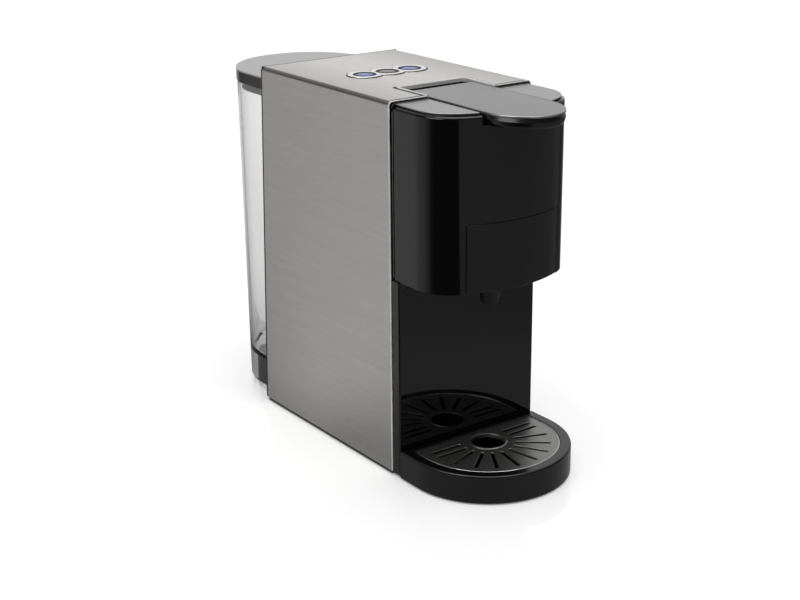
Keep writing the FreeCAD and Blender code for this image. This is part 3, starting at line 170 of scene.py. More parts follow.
def paint_sheen_and_bend_shade(tree, place, tone, start, end):
    """Painted sheen and shade on the bent sheet: the top painted lighter along its middle and darker towards
    the sides, and a painted dark band round the bend, where |x| + z (metres) passes from start to end."""
    split = tree.nodes.new("ShaderNodeSeparateXYZ")
    tree.links.new(place, split.inputs[0])
    across = combined(tree, "ABSOLUTE", split.outputs["X"])
    reach = combined(tree, "ADD", across, split.outputs["Z"])
    # painted sheen: the colour times 0.74 away from the middle of the top, so the middle reads lighter
    painted_sheen = shaded(tree, tone, 0.74, spread(tree, across, 0.0, 1.0, 0.012, 0.060))
    # painted shade: the colour times 0.34 in a band round the bend
    return shaded(tree, painted_sheen, 0.34, spread(tree, reach, 0.0, 1.0, start, end))


def brushed(name, dark, light, roughness, grain=(2600, 26, 2600), streak=(420, 5, 420), depth=0.000012,
            painted_sheen_and_shade=None):
    """Metal brushed along Y: fine hair lines, soft longer streaks and a slow drift in tone; when the band
    round the bend is given, a painted sheen along the top and painted shade round the bend go into the
    colour.
    """
    material, tree, shader, place = new_finish(name, light, 1.0, roughness[0])
    hair = cloud(tree, stretched(tree, place, grain), 1.0, 2.0, 0.7)
    soft = cloud(tree, stretched(tree, place, streak), 1.0, 3.0)
    drift = cloud(tree, place, 9.0, 2.0)
    streaks = combined(tree, "MULTIPLY_ADD", soft, 0.45, spread(tree, hair, 0.0, 0.55, 0.2, 0.8))
    tone = blend_colours(tree, streaks, dark, light)
    # painted sheen along the top and painted shade round the bend
    if painted_sheen_and_shade:
        tone = paint_sheen_and_bend_shade(tree, place, tone, *painted_sheen_and_shade)
    tree.links.new(tone, shader.inputs["Base Color"])
    rough = combined(tree, "ADD", spread(tree, hair, *roughness), spread(tree, drift, -0.02, 0.03))
    tree.links.new(rough, shader.inputs["Roughness"])
    relief(tree, shader, hair, depth)
    return material


def moulded(name, colour, roughness, grain=1500.0, depth=0.00002, drift=25.0, shift=1.25, **sockets):
    """Plastic with fine grain, a slow change in gloss and a slight change in tone."""
    material, tree, shader, place = new_finish(name, colour, 0.0, roughness[0], **sockets)
    fine = cloud(tree, place, grain, 3.0)
    slow = cloud(tree, place, drift, 3.0)
    other = tuple(channel * shift for channel in colour)
    tree.links.new(blend_colours(tree, spread(tree, slow, 0, 1), colour, other), shader.inputs["Base Color"])
    half = (roughness[1] - roughness[0]) / 2
    grained = spread(tree, fine, roughness[0], roughness[0] + half)
    rough = combined(tree, "ADD", grained, spread(tree, slow, 0, half))
    tree.links.new(rough, shader.inputs["Roughness"])
    relief(tree, shader, fine, depth)
    return material


def metal(name, colour, roughness, grain=900.0, depth=0.00001, drift=40.0):
    """Plain or cast metal with a fine grain and cloudy gloss."""
    material, tree, shader, place = new_finish(name, colour, 1.0, roughness[0])
    fine = cloud(tree, place, grain, 4.0)
    slow = cloud(tree, place, drift, 2.0)
    dark = tuple(channel * 0.82 for channel in colour)
    tree.links.new(blend_colours(tree, spread(tree, slow, 0, 1), dark, colour), shader.inputs["Base Color"])
    tree.links.new(spread(tree, fine, *roughness), shader.inputs["Roughness"])
    relief(tree, shader, fine, depth)
    return material


def clear_plastic(name):
    """Water-clear moulding with faint flow marks and a hazier touch here and there."""
    material, tree, shader, place = new_finish(name, (0.98, 0.98, 0.98), 0.0, 0.03,
                                               Transmission_Weight=1.0, IOR=1.25)
    flow = cloud(tree, stretched(tree, place, (30, 30, 6)), 1.0, 2.0)
    haze = cloud(tree, place, 60.0, 3.0)
    tree.links.new(spread(tree, haze, 0.015, 0.06), shader.inputs["Roughness"])
    relief(tree, shader, flow, 0.0004, 0.35)
    return material


def milky(name):
    """Silicone hose: half clear, softly mottled."""
    material, tree, shader, place = new_finish(name, (0.80, 0.80, 0.76), 0.0, 0.35,
                                               Transmission_Weight=0.35, IOR=1.41)
    mottle = cloud(tree, place, 160.0, 3.0)
    tree.links.new(spread(tree, mottle, 0.28, 0.45), shader.inputs["Roughness"])
    relief(tree, shader, mottle, 0.00005)
    return material


def circuit(name):
    """Solder mask: green with darker and lighter lanes."""
    material, tree, shader, place = new_finish(name, (0.03, 0.16, 0.08), 0.0, 0.3)
    lanes = tree.nodes.new("ShaderNodeTexBrick")
    lanes.inputs["Scale"].default_value = 260.0
    lanes.inputs["Mortar Size"].default_value = 0.12
    lanes.inputs["Color1"].default_value = (0.02, 0.12, 0.06, 1)
    lanes.inputs["Color2"].default_value = (0.03, 0.20, 0.09, 1)
    lanes.inputs["Mortar"].default_value = (0.05, 0.26, 0.12, 1)
    tree.links.new(place, lanes.inputs["Vector"])
    tree.links.new(lanes.outputs["Color"], shader.inputs["Base Color"])
    fine = cloud(tree, place, 700.0)
    tree.links.new(spread(tree, fine, 0.22, 0.4), shader.inputs["Roughness"])
    relief(tree, shader, lanes.outputs["Fac"], 0.00003)
    return material


# the steel's colour carries a painted sheen along the middle of the top and painted shade round the bend
BRUSHED = brushed("brushed steel sheet", (0.60, 0.587, 0.565), (0.84, 0.825, 0.80), (0.27, 0.40),
                  (2000, 110, 2000), (420, 12, 420), painted_sheen_and_shade=(0.3404, 0.3413))
SATIN = brushed("satin silver plate", (0.26, 0.26, 0.26), (0.335, 0.335, 0.335), (0.30, 0.40),
                (3200, 60, 3200), (300, 8, 300), 0.000006)
LID_SATIN = brushed("pale satin plate", (0.46, 0.46, 0.46), (0.57, 0.57, 0.57), (0.36, 0.46),
                    (3200, 60, 3200), (300, 8, 300), 0.000006)
BRIGHT = metal("polished silver trim", (0.88, 0.88, 0.88), (0.08, 0.16))
SILVER = metal("silver bezel", (0.97, 0.97, 0.98), (0.16, 0.26), 1400.0)
BLACK = moulded("polished black plastic", (0.0014, 0.0014, 0.0016), (0.03, 0.06), 420.0, 0.000004, 14.0)
TRAY_BLACK = moulded("tray black plastic", (0.0025, 0.0025, 0.0027), (0.10, 0.20), 900.0, 0.000008, 20.0)
# matt black plastic of real parts; the same finish also colours the thin strips and beads that are painted
# shade and painted dark reflection
MATT_BLACK_AND_PAINTED_SHADE = moulded("fine-grained black plastic", (0.006, 0.006, 0.0065), (0.42, 0.60), 1800.0, 0.00003)
INNER = moulded("moulded dark grey plastic", (0.045, 0.045, 0.05), (0.38, 0.55), 1300.0, 0.00003)
GREY = moulded("satin grey plastic", (0.16, 0.165, 0.17), (0.30, 0.45), 1200.0, 0.00002)
RUBBER = moulded("matt black rubber", (0.012, 0.012, 0.012), (0.65, 0.85), 1600.0, 0.00005)
BLUE = moulded("blue-violet button face", (0.045, 0.05, 0.25), (0.10, 0.20), 600.0, 0.00001, 180.0, 2.2)
BROWN = moulded("brown button face", (0.045, 0.03, 0.032), (0.10, 0.20), 600.0, 0.00001, 180.0, 1.8)
RIM = moulded("pale satin trim", (0.60, 0.60, 0.595), (0.28, 0.40), 900.0, 0.00001)
PLATE_SATIN = brushed("light satin plate", (0.36, 0.36, 0.36), (0.46, 0.46, 0.46), (0.30, 0.40),
                      (1500, 30, 1500), (200, 8, 200), 0.000008)
LEVER_BLACK = moulded("soft-gloss black plastic", (0.0018, 0.0018, 0.002), (0.20, 0.28), 420.0, 0.000004,
                      14.0)
GRATE = metal("dark satin sheet", (0.30, 0.297, 0.29), (0.30, 0.42), 2600.0, 0.00002, 60.0)
STAINLESS = metal("plain stainless", (0.60, 0.60, 0.59), (0.22, 0.36))
CAST = metal("cast aluminium", (0.62, 0.62, 0.61), (0.45, 0.65), 500.0, 0.00006)
PUMP_PAINT = moulded("grey painted steel", (0.20, 0.20, 0.21), (0.35, 0.5), 900.0, 0.00002)
CLEAR = clear_plastic("clear moulded plastic")
HOSE = milky("milky silicone")
BOARD = circuit("green circuit board")

SLOT_FINISH = {
    "brushed_steel": BRUSHED, "bright_trim": BRIGHT, "satin_plate": SATIN, "gloss_black": BLACK,
    "matte_black": MATT_BLACK_AND_PAINTED_SHADE, "inner_plastic": INNER, "grille_metal": GRATE, "clear_tank": CLEAR,
    "grey_plastic": GREY, "rubber": RUBBER, "hose": HOSE, "button_blue": BLUE, "button_brown": BROWN,
    "hardware_steel": STAINLESS, "cast_aluminium": CAST, "pump_metal": PUMP_PAINT, "circuit_board": BOARD,
}


def finish_cad_nodes():
    """Give every node that stays its finish by its material slot."""
    for part in frame["record"]["subparts"]:
        node = frame["nodes"][part["node"]]
        node.data.materials.clear()
        node.data.materials.append(SLOT_FINISH[part["material_slot"]])


# ---- shapes ----

def arc(centre, radius, start, end, steps):
    """Points on an arc in plan, angles in degrees."""
    angles = [math.radians(start + (end - start) * step / steps) for step in range(steps + 1)]
    return [(centre[0] + radius * math.cos(a), centre[1] + radius * math.sin(a)) for a in angles]


def nose(half, rear, start, depth, tip, inset=0.0, stops=(), square=False):
    """Outline from the rear left corner round a bowed front to the rear right corner.

    The tip arc and the side arcs meet without a corner.  Stops are distances from the middle
    where the tip arc gets a point of its own."""
    behind = tip - depth
    side = (tip * tip - half * half - behind * behind) / (2 * (tip - half))
    turn = math.degrees(math.atan2(abs(half - side), abs(behind)))
    left = arc((side - half, start), side - inset, 180, 270 - turn, 16)
    radius = tip - inset
    angles = [270 - turn + 2 * turn * step / 48 for step in range(1, 48)]
    for stop in stops:
        bend = math.degrees(math.asin(stop / tip))
        angles += [270 - bend, 270 + bend]
    front = [(radius * math.cos(math.radians(a)), start + behind + radius * math.sin(math.radians(a)))
             for a in sorted(angles)]
    right = [(-x, y) for x, y in reversed(left)]
    back = rear if square else rear - inset
    return [(inset - half, back)] + left + front + right + [(half - inset, back)]


def half_round(half, rear, start, inset=0.0, back=None):
    """Straight rear edge, half round front; front is -Y."""
    back = inset if back is None else back
    return [(inset - half, rear - back)] + arc((0, start), half - inset, 180, 360, 64) + [
        (half - inset, rear - back)]


def soft_box(x0, x1, y0, y1, radius, steps=6):
    corners = (((x1 - radius, y0 + radius), 270), ((x1 - radius, y1 - radius), 0),
               ((x0 + radius, y1 - radius), 90), ((x0 + radius, y0 + radius), 180))
    return [point for centre, start in corners for point in arc(centre, radius, start, start + 90, steps)]


def at_height(outline, z):
    return [(x, y, z) for x, y in outline]


def softened(section, steps=4):
    """Round the corners of an open section; each entry is (inset, height, corner radius)."""
    points = []
    for index, (inset, height, radius) in enumerate(section):
        here = Vector((inset, height))
        if not radius or index in (0, len(section) - 1):
            points.append(here)
            continue
        before = (Vector(section[index - 1][:2]) - here).normalized()
        after = (Vector(section[index + 1][:2]) - here).normalized()
        reach = radius / math.tan(before.angle(after) / 2)
        start, end = here + before * reach, here + after * reach
        for step in range(steps + 1):
            part = step / steps
            points.append((1 - part) ** 2 * start + 2 * part * (1 - part) * here + part ** 2 * end)
    return [(point.x, point.y) for point in points]


def placed(name, data):
    """New object in the scene, at the origin."""
    thing = bpy.data.objects.new(name, data)
    bpy.context.scene.collection.objects.link(thing)
    return thing


def adopt(name, mesh, finish, edge=0.0, crease=50.0, soft=32.0, solid=0.0, flat_faces=True):
    """Turn a mesh in millimetres into a finished piece: wall, small edge rounding, clean shading."""
    mesh.transform(Matrix.Scale(MM, 4))
    piece = placed(name, mesh)
    if solid:
        wall = piece.modifiers.new("wall", "SOLIDIFY")
        wall.thickness = solid * MM
        wall.offset = -1
        wall.use_even_offset = True
    if edge:
        bevel = piece.modifiers.new("edge", "BEVEL")
        bevel.width = edge * MM
        bevel.segments = 3
        bevel.limit_method = "ANGLE"
        bevel.angle_limit = math.radians(crease)
        bevel.use_clamp_overlap = True
    plain = evaluated_mesh(piece)
    piece.modifiers.clear()
    piece.data = plain
    plain.polygons.foreach_set("use_smooth", [True] * len(plain.polygons))
    plain.set_sharp_from_angle(angle=math.radians(soft))
    if flat_faces:
        shading = piece.modifiers.new("shading", "WEIGHTED_NORMAL")
        shading.keep_sharp = True
        piece.data = evaluated_mesh(piece)
        piece.modifiers.clear()
    piece.data.name = name
    piece.data.materials.clear()
    piece.data.materials.append(finish)
    return piece


def evaluated_mesh(piece):
    bpy.context.view_layer.update()
    graph = bpy.context.evaluated_depsgraph_get()
    return bpy.data.meshes.new_from_object(piece.evaluated_get(graph), depsgraph=graph)


def cleaned(mesh):
    """Merge doubles and turn all faces outwards."""
    work = bmesh.new()
    work.from_mesh(mesh)
    bmesh.ops.remove_doubles(work, verts=work.verts, dist=0.0005)
    bmesh.ops.recalc_face_normals(work, faces=work.faces)
    work.to_mesh(mesh)
    work.free()
    return mesh


def mesh_of(points, faces):
    mesh = bpy.data.meshes.new("shape")
    mesh.from_pydata([tuple(point) for point in points], [], faces)
    return mesh


def stacked(rings, closed=False):
    """Skin over rings of points, capped at both ends unless the last ring meets the first."""
    count = len(rings[0])
    points = [point for ring in rings for point in ring]
    faces = []
    last = len(rings) if closed else len(rings) - 1
    for level in range(last):
        low = level * count
        high = ((level + 1) % len(rings)) * count
        faces += [(low + i, low + (i + 1) % count, high + (i + 1) % count, high + i) for i in range(count)]
    if not closed:
        faces.append(tuple(reversed(range(count))))
        faces.append(tuple(range(len(points) - count, len(points))))
    return cleaned(mesh_of(points, faces))


def turned_band(profile, x, y, z, count):
    """Ring round a vertical axis; the profile of (radius, height) is a closed loop."""
    angles = [math.radians(360 / count * step) for step in range(count)]
    return stacked([[(x + radius * math.cos(a), y + radius * math.sin(a), z + height) for a in angles]
                    for radius, height in profile], True)


def swept(outline, section, steps=4):
    """A section of (inset, height, radius) carried round an outline that takes an inset."""
    return stacked([at_height(outline(inset), height) for inset, height in softened(section, steps)])


def slab(name, outline, low, high, finish, top=0.5, bottom=0.5, edge=0.4, start=0.0):
    """Flat plate with its own rounding at the top and bottom edges."""
    section = [(start + bottom + 0.6, low, 0), (start, low, bottom), (start, high, top),
               (start + top + 0.6, high, 0)]
    return adopt(name, swept(outline, section), finish, edge)


def whole(x, y, z):
    """A sheet with no opening."""
    return False


def sheet(name, grid, hole, finish, solid, edge, crease=40.0):
    """Sheet over a grid of points, with the faces that hole() names left out."""
    rows = len(grid[0])
    points = [point for column in grid for point in column]
    faces = []
    for i in range(len(grid) - 1):
        for j in range(rows - 1):
            corners = (grid[i][j], grid[i + 1][j], grid[i + 1][j + 1], grid[i][j + 1])
            middle = [sum(corner[axis] for corner in corners) / 4 for axis in range(3)]
            if not hole(*middle):
                faces.append((i * rows + j, (i + 1) * rows + j, (i + 1) * rows + j + 1, i * rows + j + 1))
    mesh = mesh_of(points, faces)
    work = bmesh.new()
    work.from_mesh(mesh)
    bmesh.ops.delete(work, geom=[v for v in work.verts if not v.link_faces], context="VERTS")
    work.to_mesh(mesh)
    work.free()
    return adopt(name, mesh, finish, edge, crease, 32.0, solid)


def lathe(name, profile, centre, finish, steps=64, axis="z", edge=0.0):
    """Turned piece; the profile is (radius, height) from one end of the axis to the other."""
    rings = []
    for radius, height in profile:
        radius = max(radius, 0.02)
        circle = arc((0, 0), radius, 0, 360, steps)[:-1]
        if axis == "z":
            rings.append([(centre[0] + x, centre[1] + y, centre[2] + height) for x, y in circle])
        elif axis == "x":
            rings.append([(centre[0] + height, centre[1] + x, centre[2] + y) for x, y in circle])
        else:
            rings.append([(centre[0] + x, centre[1] - height, centre[2] + y) for x, y in circle])
    return adopt(name, stacked(rings), finish, edge)


def cut_plate(name, loops, low, high, edge, finish):
    """Flat plate with holes and rounded edges; the first loop is the outside, the rest are holes."""
    curve = bpy.data.curves.new(name, "CURVE")
    curve.dimensions = "2D"
    curve.fill_mode = "BOTH"
    for index, loop in enumerate(loops):
        area = sum(a[0] * b[1] - b[0] * a[1] for a, b in zip(loop, loop[1:] + loop[:1]))
        if (area > 0) != (index == 0):
            loop = loop[::-1]
        spline = curve.splines.new("POLY")
        spline.points.add(len(loop) - 1)
        for point, (x, y) in zip(spline.points, loop):
            point.co = (x, y, 0, 1)
        spline.use_cyclic_u = True
    curve.extrude = (high - low) / 2 - edge
    curve.bevel_depth = edge
    curve.bevel_resolution = 2
    curve.offset = -edge
    drawn = placed(name, curve)
    mesh = evaluated_mesh(drawn)
    bpy.data.objects.remove(drawn)
    mesh.transform(Matrix.Translation((0, 0, (low + high) / 2)))
    return adopt(name, cleaned(mesh), finish)


# ---- trees for what follows a path or repeats ----

def tree_with(name, sizes):
    """Empty geometry tree with a geometry socket and named sizes."""
    tree = bpy.data.node_groups.new(name, "GeometryNodeTree")
    tree.interface.new_socket("Geometry", in_out="INPUT", socket_type="NodeSocketGeometry")
    for label, kind in sizes:
        tree.interface.new_socket(label, in_out="INPUT", socket_type=kind)
    tree.interface.new_socket("Geometry", in_out="OUTPUT", socket_type="NodeSocketGeometry")
    return tree, tree.nodes.new("NodeGroupInput"), tree.nodes.new("NodeGroupOutput")


def finish_tree(tree, geometry, outlet, given):
    """Smooth, realise and colour the result."""
    smooth = tree.nodes.new("GeometryNodeSetShadeSmooth")
    real = tree.nodes.new("GeometryNodeRealizeInstances")
    paint = tree.nodes.new("GeometryNodeSetMaterial")
    tree.links.new(geometry, smooth.inputs["Geometry"])
    tree.links.new(smooth.outputs["Geometry"], real.inputs["Geometry"])
    tree.links.new(real.outputs["Geometry"], paint.inputs["Geometry"])
    tree.links.new(given.outputs["Finish"], paint.inputs["Material"])
    tree.links.new(paint.outputs["Geometry"], outlet.inputs["Geometry"])


def bead_tree():
    """Round wire along a path."""
    tree, given, outlet = tree_with("bead along a path", (
        ("Wire Radius", "NodeSocketFloat"), ("Sides", "NodeSocketInt"), ("Finish", "NodeSocketMaterial")))
    path = tree.nodes.new("GeometryNodeMeshToCurve")
    circle = tree.nodes.new("GeometryNodeCurvePrimitiveCircle")
    wire = tree.nodes.new("GeometryNodeCurveToMesh")
    wire.inputs["Fill Caps"].default_value = True
    tree.links.new(given.outputs["Geometry"], path.inputs["Mesh"])
    tree.links.new(given.outputs["Wire Radius"], circle.inputs["Radius"])
    tree.links.new(given.outputs["Sides"], circle.inputs["Resolution"])
    tree.links.new(path.outputs["Curve"], wire.inputs["Curve"])
    tree.links.new(circle.outputs["Curve"], wire.inputs["Profile Curve"])
    finish_tree(tree, wire.outputs["Mesh"], outlet, given)
    return tree


def studs_tree():
    """Tapered stud on every point of the given mesh."""
    tree, given, outlet = tree_with("studs on points", (
        ("Base Radius", "NodeSocketFloat"), ("Tip Radius", "NodeSocketFloat"),
        ("Stud Height", "NodeSocketFloat"), ("Finish", "NodeSocketMaterial")))
    stud = tree.nodes.new("GeometryNodeMeshCone")
    stud.inputs["Vertices"].default_value = 20
    spots = tree.nodes.new("GeometryNodeInstanceOnPoints")
    tree.links.new(given.outputs["Tip Radius"], stud.inputs["Radius Top"])
    tree.links.new(given.outputs["Base Radius"], stud.inputs["Radius Bottom"])
    tree.links.new(given.outputs["Stud Height"], stud.inputs["Depth"])
    tree.links.new(given.outputs["Geometry"], spots.inputs["Points"])
    tree.links.new(stud.outputs["Mesh"], spots.inputs["Instance"])
    finish_tree(tree, spots.outputs["Instances"], outlet, given)
    return tree


BEAD = bead_tree()
STUDS = studs_tree()


def grown(name, tree, points, edges, **sizes):
    """Run a tree on points in millimetres and keep the plain mesh."""
    mesh = bpy.data.meshes.new(name)
    mesh.from_pydata([tuple(Vector(point) * MM) for point in points], edges, [])
    piece = placed(name, mesh)
    maker = piece.modifiers.new("maker", "NODES")
    maker.node_group = tree
    for item in tree.interface.items_tree:
        key = item.name.replace(" ", "_").lower()
        if item.in_out == "INPUT" and key in sizes:
            maker[item.identifier] = sizes[key]
    piece.data = evaluated_mesh(piece)
    piece.modifiers.clear()
    piece.data.name = name
    return piece


def bead(name, points, radius, finish, closed=False):
    edges = [(i, i + 1) for i in range(len(points) - 1)]
    if closed:
        edges.append((len(points) - 1, 0))
    return grown(name, BEAD, points, edges, wire_radius=radius * MM, sides=12, finish=finish)


def fit(piece, body, slot, *nodes):
    """Hang a finished piece on its body and hide the CAD nodes it stands for."""
    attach(piece, body)
    if nodes:
        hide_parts(*nodes)
    return piece


# ---- steel body ----

NOTCH_HALF = 30.2
NOTCH_REAR = box("notch_trim")[1].y
COLUMN_FRONT = COLUMN_LOW.y
HEAD_FLOOR = HEAD_LOW.z
BEND = 3.0
BUTTON_SLOT = 8.2
BUTTON_SPAN = 28


def rear_edge(z):
    return STEEL_REAR + REAR_LEAN * (STEEL_TOP - z) / (STEEL_TOP - WRAP_LOW.z)


def wrap_profile():
    """Section of the bent sheet, from the lower left edge over the top to the lower right edge."""
    left = [(-STEEL_HALF, WRAP_LOW.z), (-STEEL_HALF, 90), (-STEEL_HALF, 180)]
    left += arc((-STEEL_HALF + BEND, STEEL_TOP - BEND), BEND, 180, 90, 8)
    left += [(-NOTCH_HALF, STEEL_TOP), (-BUTTON_SPAN, STEEL_TOP)]
    return left + [(0, STEEL_TOP)] + [(-x, z) for x, z in reversed(left)]


def make_steel():
    """Bent sheet, with the bright hem on its front edge, partly a painted highlight; thin black beads and
    strips along the hem and the rear edge are painted shade and a painted dark reflection.
    """
    rows = (STEEL_FRONT, NOTCH_REAR, BUTTON_ROW - BUTTON_SLOT, BUTTON_ROW + BUTTON_SLOT)
    grid = [[(x, y, z) for y in rows] + [(x, rear_edge(z), z)] for x, z in wrap_profile()]

    def opening(x, y, z):
        on_top = z > STEEL_TOP - 0.5
        notch = abs(x) < NOTCH_HALF and y < NOTCH_REAR
        buttons = abs(x) < BUTTON_SPAN and abs(y - BUTTON_ROW) < BUTTON_SLOT
        return on_top and (notch or buttons)

    fit(sheet("steel_sheet", grid, opening, BRUSHED, 0.8, 0.25), "body", "brushed_steel", "steel_wrap")
    hem = STEEL_FRONT + 0.55
    for side, name in ((-1, "left"), (1, "right")):
        bent = arc((-STEEL_HALF + BEND, STEEL_TOP - BEND), BEND - 0.3, 180, 90, 8)
        path = [(-STEEL_HALF + 0.3, WRAP_LOW.z + 0.6)] + bent + [(-NOTCH_HALF - 0.6, STEEL_TOP - 0.3)]
        points = [(-side * x, hem, z) for x, z in path]
        # the hem bead is the steel's rolled edge in the pale trim colour: its round catches the lamps, and
        # the pale colour in place of the steel's own is a painted highlight
        fit(bead(f"hem_{name}", points, 0.62, RIM), "body", "bright_trim")
        # black beads in the gap in front of the hem: painted shadow
        lines = [(-side * (x + 1.5), hem - 1.7, z - 1.4) for x, z in path[1:]]
        fit(bead(f"hem_shadow_{name}", lines, 0.5, MATT_BLACK_AND_PAINTED_SHADE), "body", "matte_black")
        # thin black strip on the top just behind the hem: a painted dark reflection
        crease = [[(side * x, STEEL_FRONT + y, STEEL_TOP + 0.16) for y in (1.3, 2.9)]
                  for x in (NOTCH_HALF + 1.4, 45, STEEL_HALF - 3.4)]
        fit(sheet(f"hem_crease_{name}", crease, whole, MATT_BLACK_AND_PAINTED_SHADE, 0.1, 0.0), "body", "matte_black")
        strip = [(-side * (HEAD_HALF + 0.3), STEEL_FRONT - 1.5, z)
                 for z in (HEAD_FLOOR + 2, HEAD_HIGH.z - 3)]
        fit(bead(f"head_liner_{name}", strip, 0.28, SATIN), "body", "bright_trim")
        # black bead along the rear edge: a painted dark line of shade
        rear = [(-side * (STEEL_HALF - 0.7), rear_edge(z) + 1.15, z)
                for z in (WRAP_LOW.z + 0.5, STEEL_TOP - BEND)]
        rear.append((-side * (STEEL_HALF - BEND), rear_edge(STEEL_TOP) + 1.15, STEEL_TOP - 0.75))
        fit(bead(f"rear_seam_{name}", rear, 0.85, MATT_BLACK_AND_PAINTED_SHADE), "body", "matte_black")


def notch_path(out, z):
    half, rear, turn = NOTCH_HALF - out, NOTCH_REAR - out, 2.4
    left = [(-half, STEEL_FRONT + 0.2)] + arc((-half + turn, rear - turn), turn, 180, 90, 8)
    return [(x, y, z) for x, y in left + [(-x, y) for x, y in reversed(left)]]


def make_notch():
    """Bright rolled rim with the wall below it black, painted shade in the recess, and a thin black strip on
    the steel round it, a painted shadow line.
    """
    heights = (STEEL_TOP + 0.1, STEEL_TOP - 2.3, STEEL_TOP - 4)
    upper, lower, foot = (notch_path(0.45, z) for z in heights)
    fit(sheet("notch_rim", list(zip(upper, lower)), whole, RIM, 0.3, 0.0), "body", "bright_trim",
        "notch_trim")
    # lower wall of the notch trim in black: painted shade in the recess
    fit(sheet("notch_lining", list(zip(lower, foot)), whole, MATT_BLACK_AND_PAINTED_SHADE, 0.3, 0.0), "body", "matte_black")
    fit(bead("notch_bead", notch_path(-0.25, STEEL_TOP - 0.2), 0.98, RIM), "body", "bright_trim")
    # thin black strip on the steel round the notch: a painted shadow line
    inner, outer = (notch_path(out, STEEL_TOP + 0.16) for out in (-1.15, -2.9))
    fit(sheet("notch_outline", list(zip(inner, outer)), whole, MATT_BLACK_AND_PAINTED_SHADE, 0.1, 0.0), "body", "matte_black")


def make_column():
    """Front panel with a slot for each tongue of the tray, and two capped screw holes up high."""
    half, front, corner = COLUMN_HIGH.x, COLUMN_FRONT, 1.2
    tongue_in, tongue_out, tongue_top = 29.5, 40.5, 10
    left = [(-half, STEEL_FRONT)] + arc((-half + corner, front + corner), corner, 180, 270, 6)
    left += [(-tongue_out, front), (-tongue_in, front)]
    path = left + [(-x, y) for x, y in reversed(left)]
    rows = (COLUMN_LOW.z, tongue_top, 80, HEAD_FLOOR)
    grid = [[(x, y, z) for z in rows] for x, y in path]

    def opening(x, y, z):
        return tongue_in < abs(x) < tongue_out and z < tongue_top

    fit(sheet("column_front", grid, opening, BLACK, 2.5, 0.4), "body", "gloss_black", "column_panel")
    for side, name in ((-1, "left"), (1, "right")):
        centre = (side * (half - 8), front, HEAD_FLOOR - 7.5)
        cap = [(3.4, -0.2), (3.4, 0.15), (3.0, 0.35), (2.7, 0.2), (2.5, -0.1), (0.1, -0.1)]
        fit(lathe(f"column_peg_{name}", cap, centre, MATT_BLACK_AND_PAINTED_SHADE, 32, "y"), "body", "matte_black")


# ---- head ----

HEAD_HALF = HEAD_HIGH.x
HEAD_SHOULDER = 26.7
HEAD_START = STEEL_FRONT - HEAD_SHOULDER
HEAD_DEPTH = HEAD_START - HEAD_LOW.y
HEAD_BOW = 98.0
WELL_HALF = 30.9
DRAWER_HALF = DRAWER_HIGH.x
SEAM = 0.4
PLATE_TOP = box("head_top_plates")[1].z + 0.3


def head_outline(inset=0.0, rear=None, stops=(), square=True):
    rear = STEEL_FRONT if rear is None else rear
    return nose(HEAD_HALF, rear, HEAD_START, HEAD_DEPTH, HEAD_BOW, inset, stops, square)


def side_part(outline, limit):
    """The part of an outline left of x = -limit, as a closed loop."""
    kept = [point for point in outline if point[0] < -limit - 0.01]
    after = next(point for point in outline if point[0] >= -limit - 0.01)
    before = kept[-1]
    share = (-limit - before[0]) / (after[0] - before[0])
    return kept + [(-limit, before[1] + (after[1] - before[1]) * share), (-limit, outline[0][1])]


def mirrored(loop):
    return [(-x, y) for x, y in loop]


def make_head():
    """Shell with its rounded shoulder, black decks that close it, and a satin plate each side."""
    door = DRAWER_HALF + SEAM
    lip = LEVER_HIGH.z - 9.5
    sill = DRAWER_HIGH.z + SEAM
    round_top = 2.2
    rows = [(0, z) for z in (HEAD_FLOOR, 176, sill, 240, lip, HEAD_HIGH.z - round_top)]
    for angle in (18, 36, 54, 72, 90):
        turn = math.radians(angle)
        rows.append((round_top * (1 - math.cos(turn)), HEAD_HIGH.z - round_top * (1 - math.sin(turn))))
    levels = [at_height(head_outline(inset, None, (WELL_HALF, door)), z) for inset, z in rows]

    def opening(x, y, z):
        drawer = abs(x) < door and z < sill and y < BREW_Y
        return drawer or (abs(x) < WELL_HALF and z > lip and y < BREW_Y)

    fit(sheet("head_shell", [list(column) for column in zip(*levels)], opening, BLACK, 2.0, 0.5), "body",
        "gloss_black", "head_housing")
    keel_low, keel_high, keel_front, keel_inner = HEAD_FLOOR + 0.15, HEAD_FLOOR + 2.6, -126.7, -34.8
    for name, turn, gap in (("left", list, 0.9), ("right", mirrored, 1.9)):
        deck = side_part(head_outline(2.1), WELL_HALF)
        fit(cut_plate(f"head_deck_{name}", [turn(deck)], HEAD_HIGH.z - 2.6, HEAD_HIGH.z - 0.05, 0.1, BLACK),
            "body", "gloss_black")
        keel = side_part(head_outline(1.4), door + 0.2)
        fit(cut_plate(f"head_keel_{name}", [turn(keel)], keel_low, keel_high, 0.1, BLACK), "body",
            "gloss_black")
        strip = [(-door - 0.4, keel_front), (keel_inner, keel_front), (keel_inner, STEEL_FRONT),
                 (-door - 0.4, STEEL_FRONT)]
        fit(cut_plate(f"head_keel_strip_{name}", [turn(strip)], keel_low, keel_high, 0.1, BLACK), "body",
            "gloss_black")
        plate = side_part(head_outline(2.5, STEEL_FRONT - 1.2), NOTCH_HALF + gap)
        top = cut_plate(f"head_plate_{name}", [turn(plate)], PLATE_TOP - 0.8, PLATE_TOP, 0.25, PLATE_SATIN)
        # matt black riser under each plate: its black stands for the shadow gap under the plate, painted
        # shade
        riser = side_part(head_outline(3.3, STEEL_FRONT - 1.2), WELL_HALF + 1.1)
        base = cut_plate(f"head_riser_{name}", [turn(riser)], HEAD_HIGH.z - 0.1, PLATE_TOP - 0.7, 0.1, MATT_BLACK_AND_PAINTED_SHADE)
        fit(top, "body", "satin_plate", "head_top_plates")
        fit(base, "body", "matte_black")


# ---- lever ----

